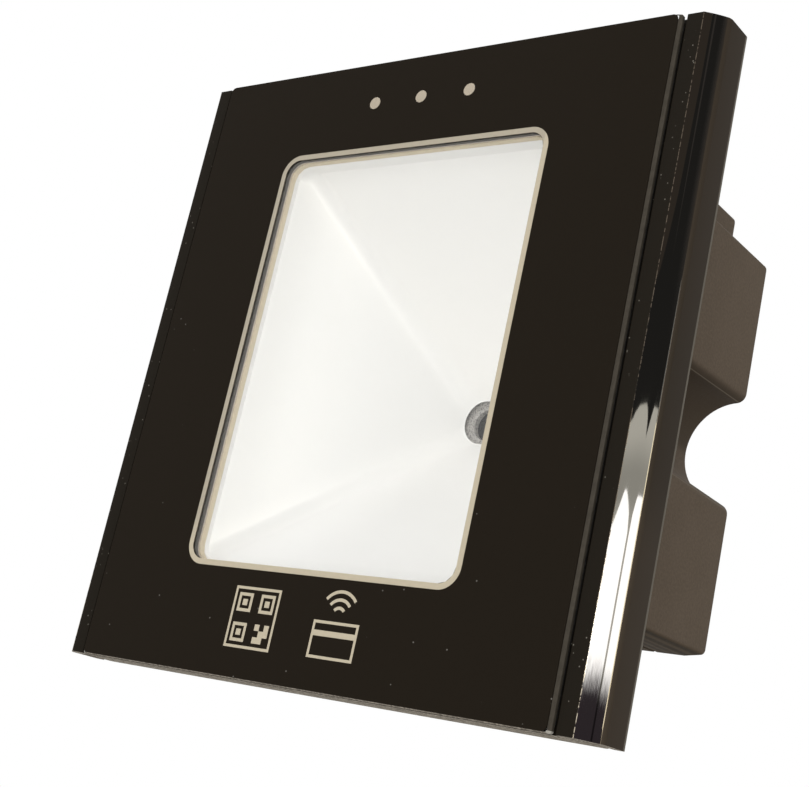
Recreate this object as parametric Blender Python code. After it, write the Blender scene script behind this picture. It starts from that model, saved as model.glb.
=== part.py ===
"""Wall-mounted code and card reader, as a Blender scene of separate pieces.

Metres, +Z up. X runs to the right as seen from the front and Y runs into the wall. The origin lies on the
wall plane, midway between the two fixing slots. The front cover (glass, ink, tape and aluminium frame) slides
forwards off the base, which holds the moulded box, the reflector hood, the two boards and the camera.
"""

import math

import bmesh
import bpy
from mathutils import Vector

# The whole reader
PLATE_WIDTH = 0.086
PLATE_HEIGHT = 0.086
PLATE_DEPTH = 0.008
BOX_DEPTH = 0.03245
FIXING_PITCH = 0.0603

# Clearances that the pieces share
BOND_GAP = 0.00005
SEAT_GAP = 0.0003
SLIDE_GAP = 0.0005
BORE_CLEARANCE = 0.0001
CUT_OVERRUN = 0.001
JOIN_OVERLAP = 0.0004

# How finely round shapes are drawn
FILLET_STEPS = 3
ROUND_STEPS = 28
SMALL_ROUND_STEPS = 14

# Front layers, each behind the one before
PRINT_THICKNESS = 0.0001
GLASS_THICKNESS = 0.00075
TAPE_THICKNESS = 0.00065
WEB_THICKNESS = 0.0015
ANTENNA_BOARD_THICKNESS = 0.0008
LIP_THICKNESS = 0.0012
FLANGE_THICKNESS = 0.0026

# Screws, all alike. The gasket leaves room for the heads beside the antenna board.
SCREW_RADIUS = 0.0009
SCREW_LENGTH = 0.0045
SCREW_HEAD_RADIUS = 0.0019
SCREW_HEAD_HEIGHT = 0.0012
SCREW_CROSS_WIDTH = 0.0005
SCREW_CROSS_SPAN = 0.0021
SCREW_CROSS_DEPTH = 0.0007
SCREW_TIP_GAP = 0.0004
HEAD_ROOM = 0.00025
BOSS_RADIUS = 0.0024
GASKET_THICKNESS = SCREW_HEAD_HEIGHT + HEAD_ROOM - ANTENNA_BOARD_THICKNESS

FACE_Y = -PLATE_DEPTH
GLASS_Y = FACE_Y + PRINT_THICKNESS + BOND_GAP
GLASS_BACK_Y = GLASS_Y + GLASS_THICKNESS
TAPE_Y = GLASS_BACK_Y + BOND_GAP
WEB_Y = TAPE_Y + TAPE_THICKNESS + BOND_GAP
WEB_BACK_Y = WEB_Y + WEB_THICKNESS
GASKET_Y = GLASS_BACK_Y + BOND_GAP
ANTENNA_BOARD_Y = GASKET_Y + GASKET_THICKNESS + BOND_GAP
LIP_Y = ANTENNA_BOARD_Y + ANTENNA_BOARD_THICKNESS + BOND_GAP
LIP_BACK_Y = LIP_Y + LIP_THICKNESS
FLANGE_Y = -FLANGE_THICKNESS

# Code window and status lights
WINDOW_SIDE_BORDER = 0.02135
WINDOW_TOP_BORDER = 0.01385
WINDOW_BOTTOM_BORDER = 0.01455
WINDOW_CORNER = 0.0022
LIGHT_RADIUS = 0.00095
LIGHT_PITCH = 0.008
LIGHT_BORDER = 0.0063

WINDOW_HALF = PLATE_WIDTH / 2 - WINDOW_SIDE_BORDER
WINDOW_TOP = PLATE_HEIGHT / 2 - WINDOW_TOP_BORDER
WINDOW_BOTTOM = WINDOW_BOTTOM_BORDER - PLATE_HEIGHT / 2
LIGHT_Z = PLATE_HEIGHT / 2 - LIGHT_BORDER

# Glass pane, in the channel between the frame's two rails
RAIL_WIDTH = 0.00465
GLASS_SIDE_GAP = 0.00045
GLASS_SIDE_BEVEL = 0.0004
GLASS_END_BEVEL = 0.0001
GLASS_BEVEL_DEPTH = 0.0003
GLASS_CORNER = 0.0007
CHANNEL_WIDTH = PLATE_WIDTH - 2 * RAIL_WIDTH
GLASS_WIDTH = CHANNEL_WIDTH - 2 * GLASS_SIDE_GAP

# Face frame, an aluminium extrusion cut to the plate's height
STRIP_DROP = 0.0006
STRIP_WIDTH = 0.00218
RAIL_BEVEL = 0.0023
RAIL_BEVEL_BULGE = 0.00007
RAIL_BEVEL_STEPS = 5
RAIL_EDGE_RADIUS = 0.00095
RAIL_REAR_RADIUS = 0.0005
SIDE_WALL = 0.0016
FRAME_INNER_RADIUS = 0.0006
WEB_OPENING_CORNER = 0.0015

# Antenna board, with the hood's lip of the same outline behind it
BOARD_SIDE_MARGIN = 0.00275
BOARD_TOP_MARGIN = 0.01005
BOARD_BOTTOM_MARGIN = 0.00745
BOARD_CORNER = 0.001
BOARD_NOTCH_WIDTH = 0.0052
BOARD_NOTCH_HEIGHT = 0.005
WEB_CLEARANCE = 0.0008
GASKET_WIDTH = 0.0018
PEG_RADIUS = 0.0007
PEG_INSET = 0.00135
PEG_RISE = 0.014
PEG_SUNK = 0.0002
CARD_CHIP_WIDTH = 0.005
CARD_CHIP_THICKNESS = 0.00085
CARD_CHIP_ACROSS = -0.0125
BOARD_HALF = WINDOW_HALF + BOARD_SIDE_MARGIN
BOARD_TOP = WINDOW_TOP + BOARD_TOP_MARGIN
BOARD_BOTTOM = WINDOW_BOTTOM - BOARD_BOTTOM_MARGIN

# Reflector hood
HOOD_WALL = 0.0013
SIDE_SKIRT = 0.0007
TOP_SKIRT = 0.0021
LENS_HOLE_RADIUS = 0.00312
LENS_HOLE_RIM = 0.0005
HOOD_END_THICKNESS = 0.001
COLLAR_HEIGHT = 0.001
COLLAR_WALL = 0.001
CAMERA_HEIGHT = 0.0055

# Moulded housing
BOX_HEIGHT = 0.0542
BOX_WALL = 0.0016
REAR_WALL = 0.002
BOX_EDGE_RADIUS = 0.0005
BOX_REAR_RADIUS = 0.001
SOLE_INSET = 0.0028
SOLE_DROP = 0.00045
TIER_STEP = 0.006
NOTCH_RADIUS = 0.00715
NOTCH_OUTSET = 0.00325
NOTCH_SHELL_OUTSET = 0.00045
NOTCH_LIP_RADIUS = 0.0013
NOTCH_STEPS = 12
NOTCH_X = FIXING_PITCH / 2 + NOTCH_OUTSET
BOX_HALF_WIDTH = NOTCH_X + NOTCH_SHELL_OUTSET
FLANGE_CORNER = 0.0005
RIM_WALL = 0.0012
RIM_RISE_GAP = 0.0004
RIB_THICKNESS = 0.001
RIB_HEIGHT = 0.0011
RIB_PITCH = 0.0115
SLOT_WIDTH = 0.0045
SLOT_LENGTH = 0.007
SLOT_RECESS_WIDTH = 0.0088
SLOT_RECESS_DEPTH = 0.0012

# Cover springs, set in pockets in the flange's sides
SPRING_CHORD = 0.009
SPRING_THICKNESS = 0.00025
SPRING_HEIGHT = 0.0014
SPRING_RISE = 0.024
SPRING_STEPS = 12
SPRING_POCKET_DEPTH = 0.001
SPRING_TOUCH_GAP = 0.00015

# Main board and what stands on it
MAIN_BOARD_THICKNESS = 0.0016
BOARD_STANDOFF = 0.0027
MAIN_BOARD_CLEARANCE = 0.0006
BOARD_BOSS_SIDE_INSET = 0.006
BOARD_BOSS_END_INSET = 0.0075
FOAM_THICKNESS = 0.0012
FOAM_RADIUS = 0.0044
FOAM_HOLE_RADIUS = 0.0023
BARREL_FLANGE_RADIUS = 0.0044
BARREL_FLANGE_THICKNESS = 0.0006
BARREL_STEM_RADIUS = 0.0037
BARREL_BORE_RADIUS = 0.0018
LENS_RADIUS = 0.0029
LENS_THICKNESS = 0.0009
LENS_DOME = 0.00045
HOLDER_WIDTH = 0.013
HOLDER_CORNER = 0.0008
SENSOR_WIDTH = 0.0064
SENSOR_HEIGHT = 0.0054
SENSOR_THICKNESS = 0.0008
SENSOR_ROOM = 0.0002
PART_EDGE = 0.0002
SOCKET_WIDTH = 0.011
SOCKET_DEPTH = 0.0018
SOCKET_ROOM = 0.00042
FRONT_SOCKET_LENGTH = 0.0022
REAR_SOCKET_LENGTH = 0.002
REAR_SOCKET_RISE = 0.0215
RIBBON_WIDTH = 0.008
RIBBON_THICKNESS = 0.0003
RIBBON_STEPS = 14
WIRE_SOCKET_WIDTH = 0.02
WIRE_SOCKET_HEIGHT = 0.006
WIRE_SOCKET_DROP = 0.014
WIRE_SOCKET_WALL = 0.0009
WIRE_SOCKET_INSET = 0.0004
WIRE_SOCKET_ROOM = 0.001
WIRE_PIN_COUNT = 8
WIRE_PIN_PITCH = 0.002
WIRE_PIN_WIDTH = 0.0005
WIRE_PIN_LENGTH = 0.0027
STATUS_LED_WIDTH = 0.0016
STATUS_LED_HEIGHT = 0.0009
STATUS_LED_THICKNESS = 0.00035
FILL_LIGHT_WIDTH = 0.0035
FILL_LIGHT_HEIGHT = 0.0028
FILL_LIGHT_THICKNESS = 0.0012
FILL_LIGHT_ACROSS = 0.011
FILL_LIGHT_RISE = 0.0095
BUZZER_RADIUS = 0.0045
BUZZER_HEIGHT = 0.004
BUZZER_HOLE_RADIUS = 0.0008
BUZZER_ACROSS = 0.0175
BUZZER_DROP = 0.0155
CAPACITOR_RADIUS = 0.0025
CAPACITOR_HEIGHT = 0.0054
CAPACITOR_GROOVE = 0.0003
CAPACITOR_ACROSS = -0.0185
CAPACITOR_DROP = 0.0165
PROCESSOR_SIZE = 0.01
PROCESSOR_PLACE = (-0.0145, 0.006)
CHIP_THICKNESS = 0.001
MEMORY_WIDTH = 0.006
MEMORY_HEIGHT = 0.005
MEMORY_PLACE = (-0.0145, -0.0055)
COIL_SIZE = 0.006
COIL_THICKNESS = 0.0021
COIL_PLACE = (0.0145, 0.005)
CRYSTAL_WIDTH = 0.005
CRYSTAL_HEIGHT = 0.0032
CRYSTAL_PLACE = (-0.0165, 0.0015)

# Places that follow from the sizes above
REAR_INNER_Y = BOX_DEPTH - REAR_WALL
MAIN_BOARD_BACK_Y = REAR_INNER_Y - BOARD_STANDOFF
MAIN_BOARD_Y = MAIN_BOARD_BACK_Y - MAIN_BOARD_THICKNESS
HOOD_BACK_Y = MAIN_BOARD_Y - CAMERA_HEIGHT
HOOD_END_Y = HOOD_BACK_Y + HOOD_END_THICKNESS
FOAM_Y = HOOD_END_Y + BOND_GAP
BARREL_Y = FOAM_Y + FOAM_THICKNESS + BOND_GAP
HOLDER_Y = BARREL_Y + BARREL_FLANGE_THICKNESS + BOND_GAP
ON_BOARD_Y = MAIN_BOARD_Y - BOND_GAP
BEHIND_BOARD_Y = MAIN_BOARD_BACK_Y + BOND_GAP
SENSOR_ROOM_Y = ON_BOARD_Y - SENSOR_THICKNESS - SENSOR_ROOM
WALL_INNER = PLATE_WIDTH / 2 - SIDE_WALL
FRAME_REAR_Y = -SEAT_GAP
FLANGE_HALF_WIDTH = WALL_INNER - SLIDE_GAP
FLANGE_HALF_HEIGHT = PLATE_HEIGHT / 2
SCREW_ACROSS = BOARD_HALF - BOARD_NOTCH_WIDTH / 2
SCREW_TOP = BOARD_TOP - BOARD_NOTCH_HEIGHT / 2
SCREW_BOTTOM = BOARD_BOTTOM + BOARD_NOTCH_HEIGHT / 2
BOSS_FRONT_Y = LIP_BACK_Y + BOND_GAP
RIM_Y = WEB_BACK_Y + RIM_RISE_GAP
HOOD_TOP = WINDOW_TOP + HOOD_WALL
SOCKET_Z = HOOD_TOP + SOCKET_ROOM + SOCKET_DEPTH / 2
TIER_TOP = SOCKET_Z + SOCKET_DEPTH / 2 + SOCKET_ROOM + BOX_WALL
CARD_CHIP_Z = HOOD_TOP + SEAT_GAP + CARD_CHIP_WIDTH / 2


def clear_scene():
    for old in list(bpy.data.objects):
        bpy.data.objects.remove(old, do_unlink=True)


def material(name, colour, roughness, metallic=0, transmission=0):
    made = bpy.data.materials.new(name)
    made.use_nodes = True
    shader = made.node_tree.nodes["Principled BSDF"]
    shader.inputs["Base Color"].default_value = (*colour, 1)
    shader.inputs["Roughness"].default_value = roughness
    shader.inputs["Metallic"].default_value = metallic
    shader.inputs["Transmission Weight"].default_value = transmission
    return made


def carrier(name):
    """An empty that holds the pieces of one moving body."""
    empty = bpy.data.objects.new(name, None)
    bpy.context.scene.collection.objects.link(empty)
    return empty


def piece(name, shape, look, parent=None, place=(0, 0, 0)):
    """Turns a bmesh into a named object at its place."""
    bmesh.ops.remove_doubles(shape, verts=shape.verts, dist=1e-8)
    bmesh.ops.recalc_face_normals(shape, faces=shape.faces)
    mesh = bpy.data.meshes.new(name)
    shape.to_mesh(mesh)
    shape.free()
    mesh.shade_smooth()
    mesh.set_sharp_from_angle(angle=math.radians(32))
    obj = bpy.data.objects.new(name, mesh)
    bpy.context.scene.collection.objects.link(obj)
    if look:
        mesh.materials.append(look)
    obj.parent = parent
    obj.location = place
    return obj


def helper(name, shape, place=(0, 0, 0)):
    """A shape that only cuts or joins, and that no picture shows."""
    obj = piece(name, shape, None, None, place)
    obj.hide_render = True
    obj.display_type = "WIRE"
    return obj


def boolean(target, other, operation):
    step = target.modifiers.new(f"{operation.lower()} {other.name}", "BOOLEAN")
    step.operation = operation
    step.solver = "EXACT"
    step.object = other


def cut(target, name, shape):
    boolean(target, helper(name, shape), "DIFFERENCE")


def join(target, name, shape):
    boolean(target, helper(name, shape), "UNION")


def loft(rings):
    """A closed body through rings of points that have the same count."""
    shape = bmesh.new()
    made = [[shape.verts.new(point) for point in ring] for ring in rings]
    for near, far in zip(made, made[1:]):
        for i, first in enumerate(near):
            following = (i + 1) % len(near)
            shape.faces.new((first, near[following], far[following], far[i]))
    shape.faces.new(made[0])
    shape.faces.new(made[-1])
    return shape


def along_y(outline, y):
    return [(x, y, z) for x, z in outline]


def prism(outline, y_front, y_back):
    """An outline in X and Z, carried from y_front to y_back."""
    return loft([along_y(outline, y_front), along_y(outline, y_back)])


def lathe(profile, steps, across=0, rise=0):
    """A body turned about an axis along Y, from (radius, y) points. A profile clear of the axis is closed."""
    shape = bmesh.new()
    points = [shape.verts.new((radius, y, 0)) for radius, y in profile]
    edges = [shape.edges.new(pair) for pair in zip(points, points[1:])]
    if all(radius > 0 for radius, _ in profile):
        edges.append(shape.edges.new((points[-1], points[0])))
    bmesh.ops.spin(
        shape,
        geom=points + edges,
        cent=(0, 0, 0),
        axis=(0, 1, 0),
        angle=math.tau,
        steps=steps,
        use_merge=True,
    )
    bmesh.ops.remove_doubles(shape, verts=shape.verts, dist=1e-8)
    bmesh.ops.translate(shape, verts=shape.verts, vec=(across, 0, rise))
    return shape


def cylinder(radius, y_front, y_back, across=0, rise=0, steps=SMALL_ROUND_STEPS):
    profile = [(0, y_front), (radius, y_front), (radius, y_back), (0, y_back)]
    return lathe(profile, steps, across, rise)


def tube(radius, hole_radius, y_front, y_back, across=0, rise=0, steps=ROUND_STEPS):
    profile = [(hole_radius, y_front), (radius, y_front), (radius, y_back), (hole_radius, y_back)]
    return lathe(profile, steps, across, rise)


def arc(centre, radius, start, end, steps):
    """Points on a circle in the plane, with both ends."""
    angles = [start + (end - start) * i / steps for i in range(steps + 1)]
    return [(centre[0] + radius * math.cos(a), centre[1] + radius * math.sin(a)) for a in angles]


def rounded(corners):
    """A closed outline through corners of (x, z, fillet radius)."""
    points = []
    for i, (x, z, radius) in enumerate(corners):
        here = Vector((x, z))
        if not radius:
            points.append((x, z))
            continue
        back = (Vector(corners[i - 1][:2]) - here).normalized()
        ahead = (Vector(corners[(i + 1) % len(corners)][:2]) - here).normalized()
        half = back.angle(ahead) / 2
        centre = here + (back + ahead).normalized() * (radius / math.sin(half))
        first = here + back * (radius / math.tan(half)) - centre
        last = here + ahead * (radius / math.tan(half)) - centre
        start = math.atan2(first.y, first.x)
        turn = math.remainder(math.atan2(last.y, last.x) - start, math.tau)
        points += arc(centre, radius, start, start + turn, FILLET_STEPS)
    return points


def rectangle(left, right, bottom, top, radius=0):
    corners = [(left, bottom), (right, bottom), (right, top), (left, top)]
    return rounded([(x, z, radius) for x, z in corners])


def centred(width, height, radius=0, across=0, rise=0):
    return rectangle(across - width / 2, across + width / 2, rise - height / 2, rise + height / 2, radius)


def slot(length, width, across):
    """A slot along X with round ends."""
    straight = (length - width) / 2
    right = arc((across + straight, 0), width / 2, -math.pi / 2, math.pi / 2, SMALL_ROUND_STEPS // 2)
    left = arc((across - straight, 0), width / 2, math.pi / 2, 3 * math.pi / 2, SMALL_ROUND_STEPS // 2)
    return right + left


def mirrored(right_half):
    """A closed outline from its right half, listed from bottom to top."""
    return right_half + [(-corner[0], *corner[1:]) for corner in reversed(right_half)]


def notched_outline(half_width, bottom, top, notch_radius, lip_radius, edge_radius, tier=None, sole=False):
    """The box's outline: a half-round notch in each side and, with tier, a narrower upper part.

    The lip is the rounding between a side and its notch. It touches the side's line and, from outside, the
    notch's circle, which gives its centre. With sole, the bottom slopes down from each side to a flat sole.
    """
    lip_x = half_width - lip_radius
    lip_z = math.sqrt((notch_radius + lip_radius) ** 2 - (lip_x - NOTCH_X) ** 2)
    towards_notch = math.atan2(-lip_z, NOTCH_X - lip_x)
    from_notch = math.atan2(lip_z, lip_x - NOTCH_X)
    upper_lip = arc((lip_x, lip_z), lip_radius, towards_notch, 0, FILLET_STEPS)
    lower_lip = [(x, -z) for x, z in reversed(upper_lip)]
    notch = arc((NOTCH_X, 0), notch_radius, math.tau - from_notch, from_notch, NOTCH_STEPS)
    side = lower_lip + notch[1:-1] + upper_lip
    corners = [(half_width, bottom, edge_radius)] + [(x, z, 0) for x, z in side]
    corners.append((half_width, top, edge_radius))
    if sole:
        corners.insert(0, (half_width - SOLE_INSET, bottom - SOLE_DROP, 0))
    if tier:
        tier_half_width, tier_top = tier
        corners.append((tier_half_width, top, edge_radius))
        corners.append((tier_half_width, tier_top, edge_radius))
    return rounded(mirrored(corners))


def box_outline(inset):
    """The box's outline with its upper tier, moved inwards by inset."""
    return notched_outline(
        BOX_HALF_WIDTH - inset,
        inset - BOX_HEIGHT / 2,
        BOX_HEIGHT / 2 - inset,
        NOTCH_RADIUS + inset,
        NOTCH_LIP_RADIUS,
        BOX_EDGE_RADIUS,
        (BOX_HALF_WIDTH - TIER_STEP - inset, TIER_TOP - inset),
        True,
    )


def board_outline(with_notches):
    """The antenna board's outline. Its corners are cut away round the hood's screw heads."""
    right = BOARD_HALF
    inner = right - BOARD_NOTCH_WIDTH
    if not with_notches:
        return rectangle(-right, right, BOARD_BOTTOM, BOARD_TOP, BOARD_CORNER)
    low = BOARD_BOTTOM + BOARD_NOTCH_HEIGHT
    high = BOARD_TOP - BOARD_NOTCH_HEIGHT
    return rounded(
        mirrored(
            [
                (inner, BOARD_BOTTOM, 0),
                (inner, low, BOARD_CORNER),
                (right, low, 0),
                (right, high, 0),
                (inner, high, BOARD_CORNER),
                (inner, BOARD_TOP, 0),
            ]
        )
    )


def window_outline(radius, grow=0):
    return rectangle(
        -WINDOW_HALF - grow, WINDOW_HALF + grow, WINDOW_BOTTOM - grow, WINDOW_TOP + grow, radius
    )


def screw_places():
    """Where the hood's screws stand, as (x, z)."""
    return [(side * SCREW_ACROSS, rise) for rise in (SCREW_TOP, SCREW_BOTTOM) for side in (-1, 1)]


def board_screw_places():
    across = BOX_HALF_WIDTH - BOARD_BOSS_SIDE_INSET
    rise = BOX_HEIGHT / 2 - BOARD_BOSS_END_INSET
    return [(side * across, end * rise) for end in (1, -1) for side in (-1, 1)]


def light_places():
    return [(place * LIGHT_PITCH, LIGHT_Z) for place in (-1, 0, 1)]


def printed_face(look, cover):
    """The black ink, a thin skin with its window and light openings."""
    width = GLASS_WIDTH - 2 * GLASS_SIDE_BEVEL
    height = PLATE_HEIGHT - 2 * GLASS_END_BEVEL
    back = FACE_Y + PRINT_THICKNESS
    face = piece("printed_face", prism(centred(width, height, GLASS_CORNER), FACE_Y, back), look, cover)
    window = prism(window_outline(WINDOW_CORNER), FACE_Y - CUT_OVERRUN, back + CUT_OVERRUN)
    cut(face, "cut_window", window)
    for number, (x, z) in enumerate(light_places(), 1):
        hole = cylinder(LIGHT_RADIUS, FACE_Y - CUT_OVERRUN, back + CUT_OVERRUN, x, z)
        cut(face, f"cut_light_{number}", hole)


def status_windows(look, cover):
    """Pale dots that fill the light openings."""
    for number, (x, z) in enumerate(light_places(), 1):
        dot = cylinder(LIGHT_RADIUS - BOND_GAP, FACE_Y, FACE_Y + PRINT_THICKNESS)
        piece(f"status_window_{number}", dot, look, cover, (x, 0, z))


def front_glass(look, cover):
    """The pane, with its front edges ground to a small bevel."""
    front = centred(GLASS_WIDTH - 2 * GLASS_SIDE_BEVEL, PLATE_HEIGHT - 2 * GLASS_END_BEVEL, GLASS_CORNER)
    full = centred(GLASS_WIDTH, PLATE_HEIGHT, GLASS_CORNER)
    pane = loft([
        along_y(front, GLASS_Y),
        along_y(full, GLASS_Y + GLASS_BEVEL_DEPTH),
        along_y(full, GLASS_BACK_Y),
    ])
    piece("front_glass", pane, look, cover)


def web_opening(grow=0):
    """The frame's milled opening, which passes over the antenna board."""
    clear = WEB_CLEARANCE + grow
    half = BOARD_HALF + clear
    return rectangle(-half, half, BOARD_BOTTOM - clear, BOARD_TOP + clear, WEB_OPENING_CORNER)


def glass_tape(look, cover):
    """A ring of tape that bonds the pane to the frame's web."""
    back = TAPE_Y + TAPE_THICKNESS
    ring = prism(
        centred(GLASS_WIDTH - 2 * SEAT_GAP, PLATE_HEIGHT - 2 * SLIDE_GAP, GLASS_CORNER), TAPE_Y, back
    )
    tape = piece("glass_tape", ring, look, cover)
    cut(tape, "cut_tape", prism(web_opening(BOND_GAP), TAPE_Y - CUT_OVERRUN, back + CUT_OVERRUN))


def frame_profile():
    """The extrusion's section in X and Y: web, channel for the pane, flat strip, bevel and side wall."""
    strip_y = FACE_Y + STRIP_DROP
    channel = CHANNEL_WIDTH / 2
    bevel_x = channel + STRIP_WIDTH
    side = PLATE_WIDTH / 2
    run = side - bevel_x
    right = [(channel, WEB_Y, 0), (channel, strip_y, 0)]
    for i in range(RAIL_BEVEL_STEPS):
        share = i / RAIL_BEVEL_STEPS
        bulge = RAIL_BEVEL_BULGE * math.sin(math.pi * share)
        right.append((bevel_x + run * share + bulge, strip_y + RAIL_BEVEL * share - bulge, 0))
    right += [
        (side, strip_y + RAIL_BEVEL, RAIL_EDGE_RADIUS),
        (side, FRAME_REAR_Y, RAIL_REAR_RADIUS),
        (WALL_INNER, FRAME_REAR_Y, RAIL_REAR_RADIUS / 2),
        (WALL_INNER, WEB_BACK_Y, FRAME_INNER_RADIUS),
    ]
    return rounded([(-x, y, radius) for x, y, radius in reversed(right)] + right)


def face_frame(look, cover):
    """The aluminium frame, cut square at top and bottom."""
    section = frame_profile()
    half = PLATE_HEIGHT / 2
    rings = [[(x, y, z) for x, y in section] for z in (-half, half)]
    frame = piece("face_frame", loft(rings), look, cover)
    cut(frame, "cut_web", prism(web_opening(), WEB_Y - CUT_OVERRUN, WEB_BACK_Y + CUT_OVERRUN))


def hood_ring(y, grow):
    """The funnel's four corners at a depth, its walls moved out by grow."""
    end = LENS_HOLE_RADIUS + LENS_HOLE_RIM

    def reach(full, skirt):
        start = LIP_Y + skirt
        if y <= start:
            return full + grow
        share = min((y - start) / (HOOD_BACK_Y - start), 1)
        return full + (end - full) * share + grow

    side = reach(WINDOW_HALF, SIDE_SKIRT)
    top = reach(WINDOW_TOP, TOP_SKIRT)
    bottom = reach(-WINDOW_BOTTOM, 0)
    return [(-side, y, -bottom), (side, y, -bottom), (side, y, top), (-side, y, top)]


def funnel(grow, y_front, y_back):
    """The funnel as a body, bent where each wall leaves its short straight skirt."""
    bends = [LIP_Y + SIDE_SKIRT, LIP_Y + TOP_SKIRT, HOOD_BACK_Y]
    depths = [y_front] + sorted(y for y in bends if y_front < y < y_back) + [y_back]
    return loft([hood_ring(y, grow) for y in depths])


def reflector_hood(look, base):
    """The white funnel with its lip, board pegs, lens hole and the collar behind it."""
    hood = piece("reflector_hood", prism(board_outline(False), LIP_Y, LIP_BACK_Y), look, base)
    join(hood, "join_funnel", funnel(HOOD_WALL, (LIP_Y + LIP_BACK_Y) / 2, HOOD_END_Y))
    collar_radius = FOAM_RADIUS + BORE_CLEARANCE
    collar_end = HOOD_END_Y + COLLAR_HEIGHT
    collar = cylinder(collar_radius + COLLAR_WALL, HOOD_END_Y - JOIN_OVERLAP, collar_end, steps=ROUND_STEPS)
    join(hood, "join_collar", collar)
    for number, (x, z) in enumerate(peg_places(), 1):
        front = ANTENNA_BOARD_Y + PEG_SUNK
        join(hood, f"join_peg_{number}", cylinder(PEG_RADIUS, front, LIP_Y + JOIN_OVERLAP, x, z))
    cut(hood, "cut_funnel", funnel(0, LIP_Y - CUT_OVERRUN, HOOD_BACK_Y))
    collar_bore = cylinder(collar_radius, HOOD_END_Y, collar_end + CUT_OVERRUN, steps=ROUND_STEPS)
    cut(hood, "cut_collar", collar_bore)
    lens_hole = cylinder(
        LENS_HOLE_RADIUS, HOOD_BACK_Y - CUT_OVERRUN, HOOD_END_Y + CUT_OVERRUN, steps=ROUND_STEPS
    )
    cut(hood, "cut_lens_hole", lens_hole)
    cut(hood, "cut_lip_parts", prism(lip_part_opening(), LIP_Y - CUT_OVERRUN, LIP_BACK_Y + CUT_OVERRUN))
    for number, (x, z) in enumerate(screw_places(), 1):
        hole = cylinder(
            SCREW_RADIUS + 2 * BORE_CLEARANCE, LIP_Y - CUT_OVERRUN, LIP_BACK_Y + CUT_OVERRUN, x, z
        )
        cut(hood, f"cut_lip_hole_{number}", hole)


def peg_places():
    across = BOARD_HALF - PEG_INSET
    return [(side * across, end * PEG_RISE) for end in (1, -1) for side in (-1, 1)]


def lip_part_opening():
    """The opening in the lip for the ribbon's socket and the card chip, which hang behind the board."""
    left = CARD_CHIP_ACROSS - CARD_CHIP_WIDTH / 2 - SEAT_GAP
    right = SOCKET_WIDTH / 2 + SEAT_GAP
    top = CARD_CHIP_Z + CARD_CHIP_WIDTH / 2 + SEAT_GAP
    return rectangle(left, right, HOOD_TOP + BORE_CLEARANCE, top)


def window_gasket(look, base):
    """Foam round the window, between the antenna board and the pane."""
    back = GASKET_Y + GASKET_THICKNESS
    ring = prism(window_outline(WINDOW_CORNER, GASKET_WIDTH), GASKET_Y, back)
    gasket = piece("window_gasket", ring, look, base)
    opening = prism(window_outline(WINDOW_CORNER), GASKET_Y - CUT_OVERRUN, back + CUT_OVERRUN)
    cut(gasket, "cut_gasket", opening)


def antenna_board(look, base):
    """The board round the window, with holes for the hood's pegs."""
    back = ANTENNA_BOARD_Y + ANTENNA_BOARD_THICKNESS
    front_cut = ANTENNA_BOARD_Y - CUT_OVERRUN
    board = piece("antenna_board", prism(board_outline(True), ANTENNA_BOARD_Y, back), look, base)
    cut(board, "cut_board_window", prism(window_outline(WINDOW_CORNER), front_cut, back + CUT_OVERRUN))
    for number, (x, z) in enumerate(peg_places(), 1):
        hole = cylinder(PEG_RADIUS + BORE_CLEARANCE, front_cut, back + CUT_OVERRUN, x, z)
        cut(board, f"cut_peg_hole_{number}", hole)


def chip(width, height, thickness, y_seat, outward):
    """A block with a chamfered top. It stands on y_seat, and outward is -1 to the front or 1 to the rear."""
    wide = centred(width, height)
    narrow = centred(width - 2 * PART_EDGE, height - 2 * PART_EDGE)
    return loft([
        along_y(wide, y_seat),
        along_y(wide, y_seat + outward * (thickness - PART_EDGE)),
        along_y(narrow, y_seat + outward * thickness),
    ])


def antenna_board_parts(lamp, chip_look, socket_look, base):
    """The status lights in front of the board, and the card chip and ribbon socket behind it."""
    for number, (x, z) in enumerate(light_places(), 1):
        lamp_shape = chip(
            STATUS_LED_WIDTH, STATUS_LED_HEIGHT, STATUS_LED_THICKNESS, ANTENNA_BOARD_Y - BOND_GAP, -1
        )
        piece(f"status_led_{number}", lamp_shape, lamp, base, (x, 0, z))
    card_chip = chip(CARD_CHIP_WIDTH, CARD_CHIP_WIDTH, CARD_CHIP_THICKNESS, LIP_Y, 1)
    piece("card_chip", card_chip, chip_look, base, (CARD_CHIP_ACROSS, 0, CARD_CHIP_Z))
    socket = chip(SOCKET_WIDTH, SOCKET_DEPTH, FRONT_SOCKET_LENGTH, LIP_Y, 1)
    piece("ribbon_socket_front", socket, socket_look, base, (0, 0, SOCKET_Z))


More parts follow.
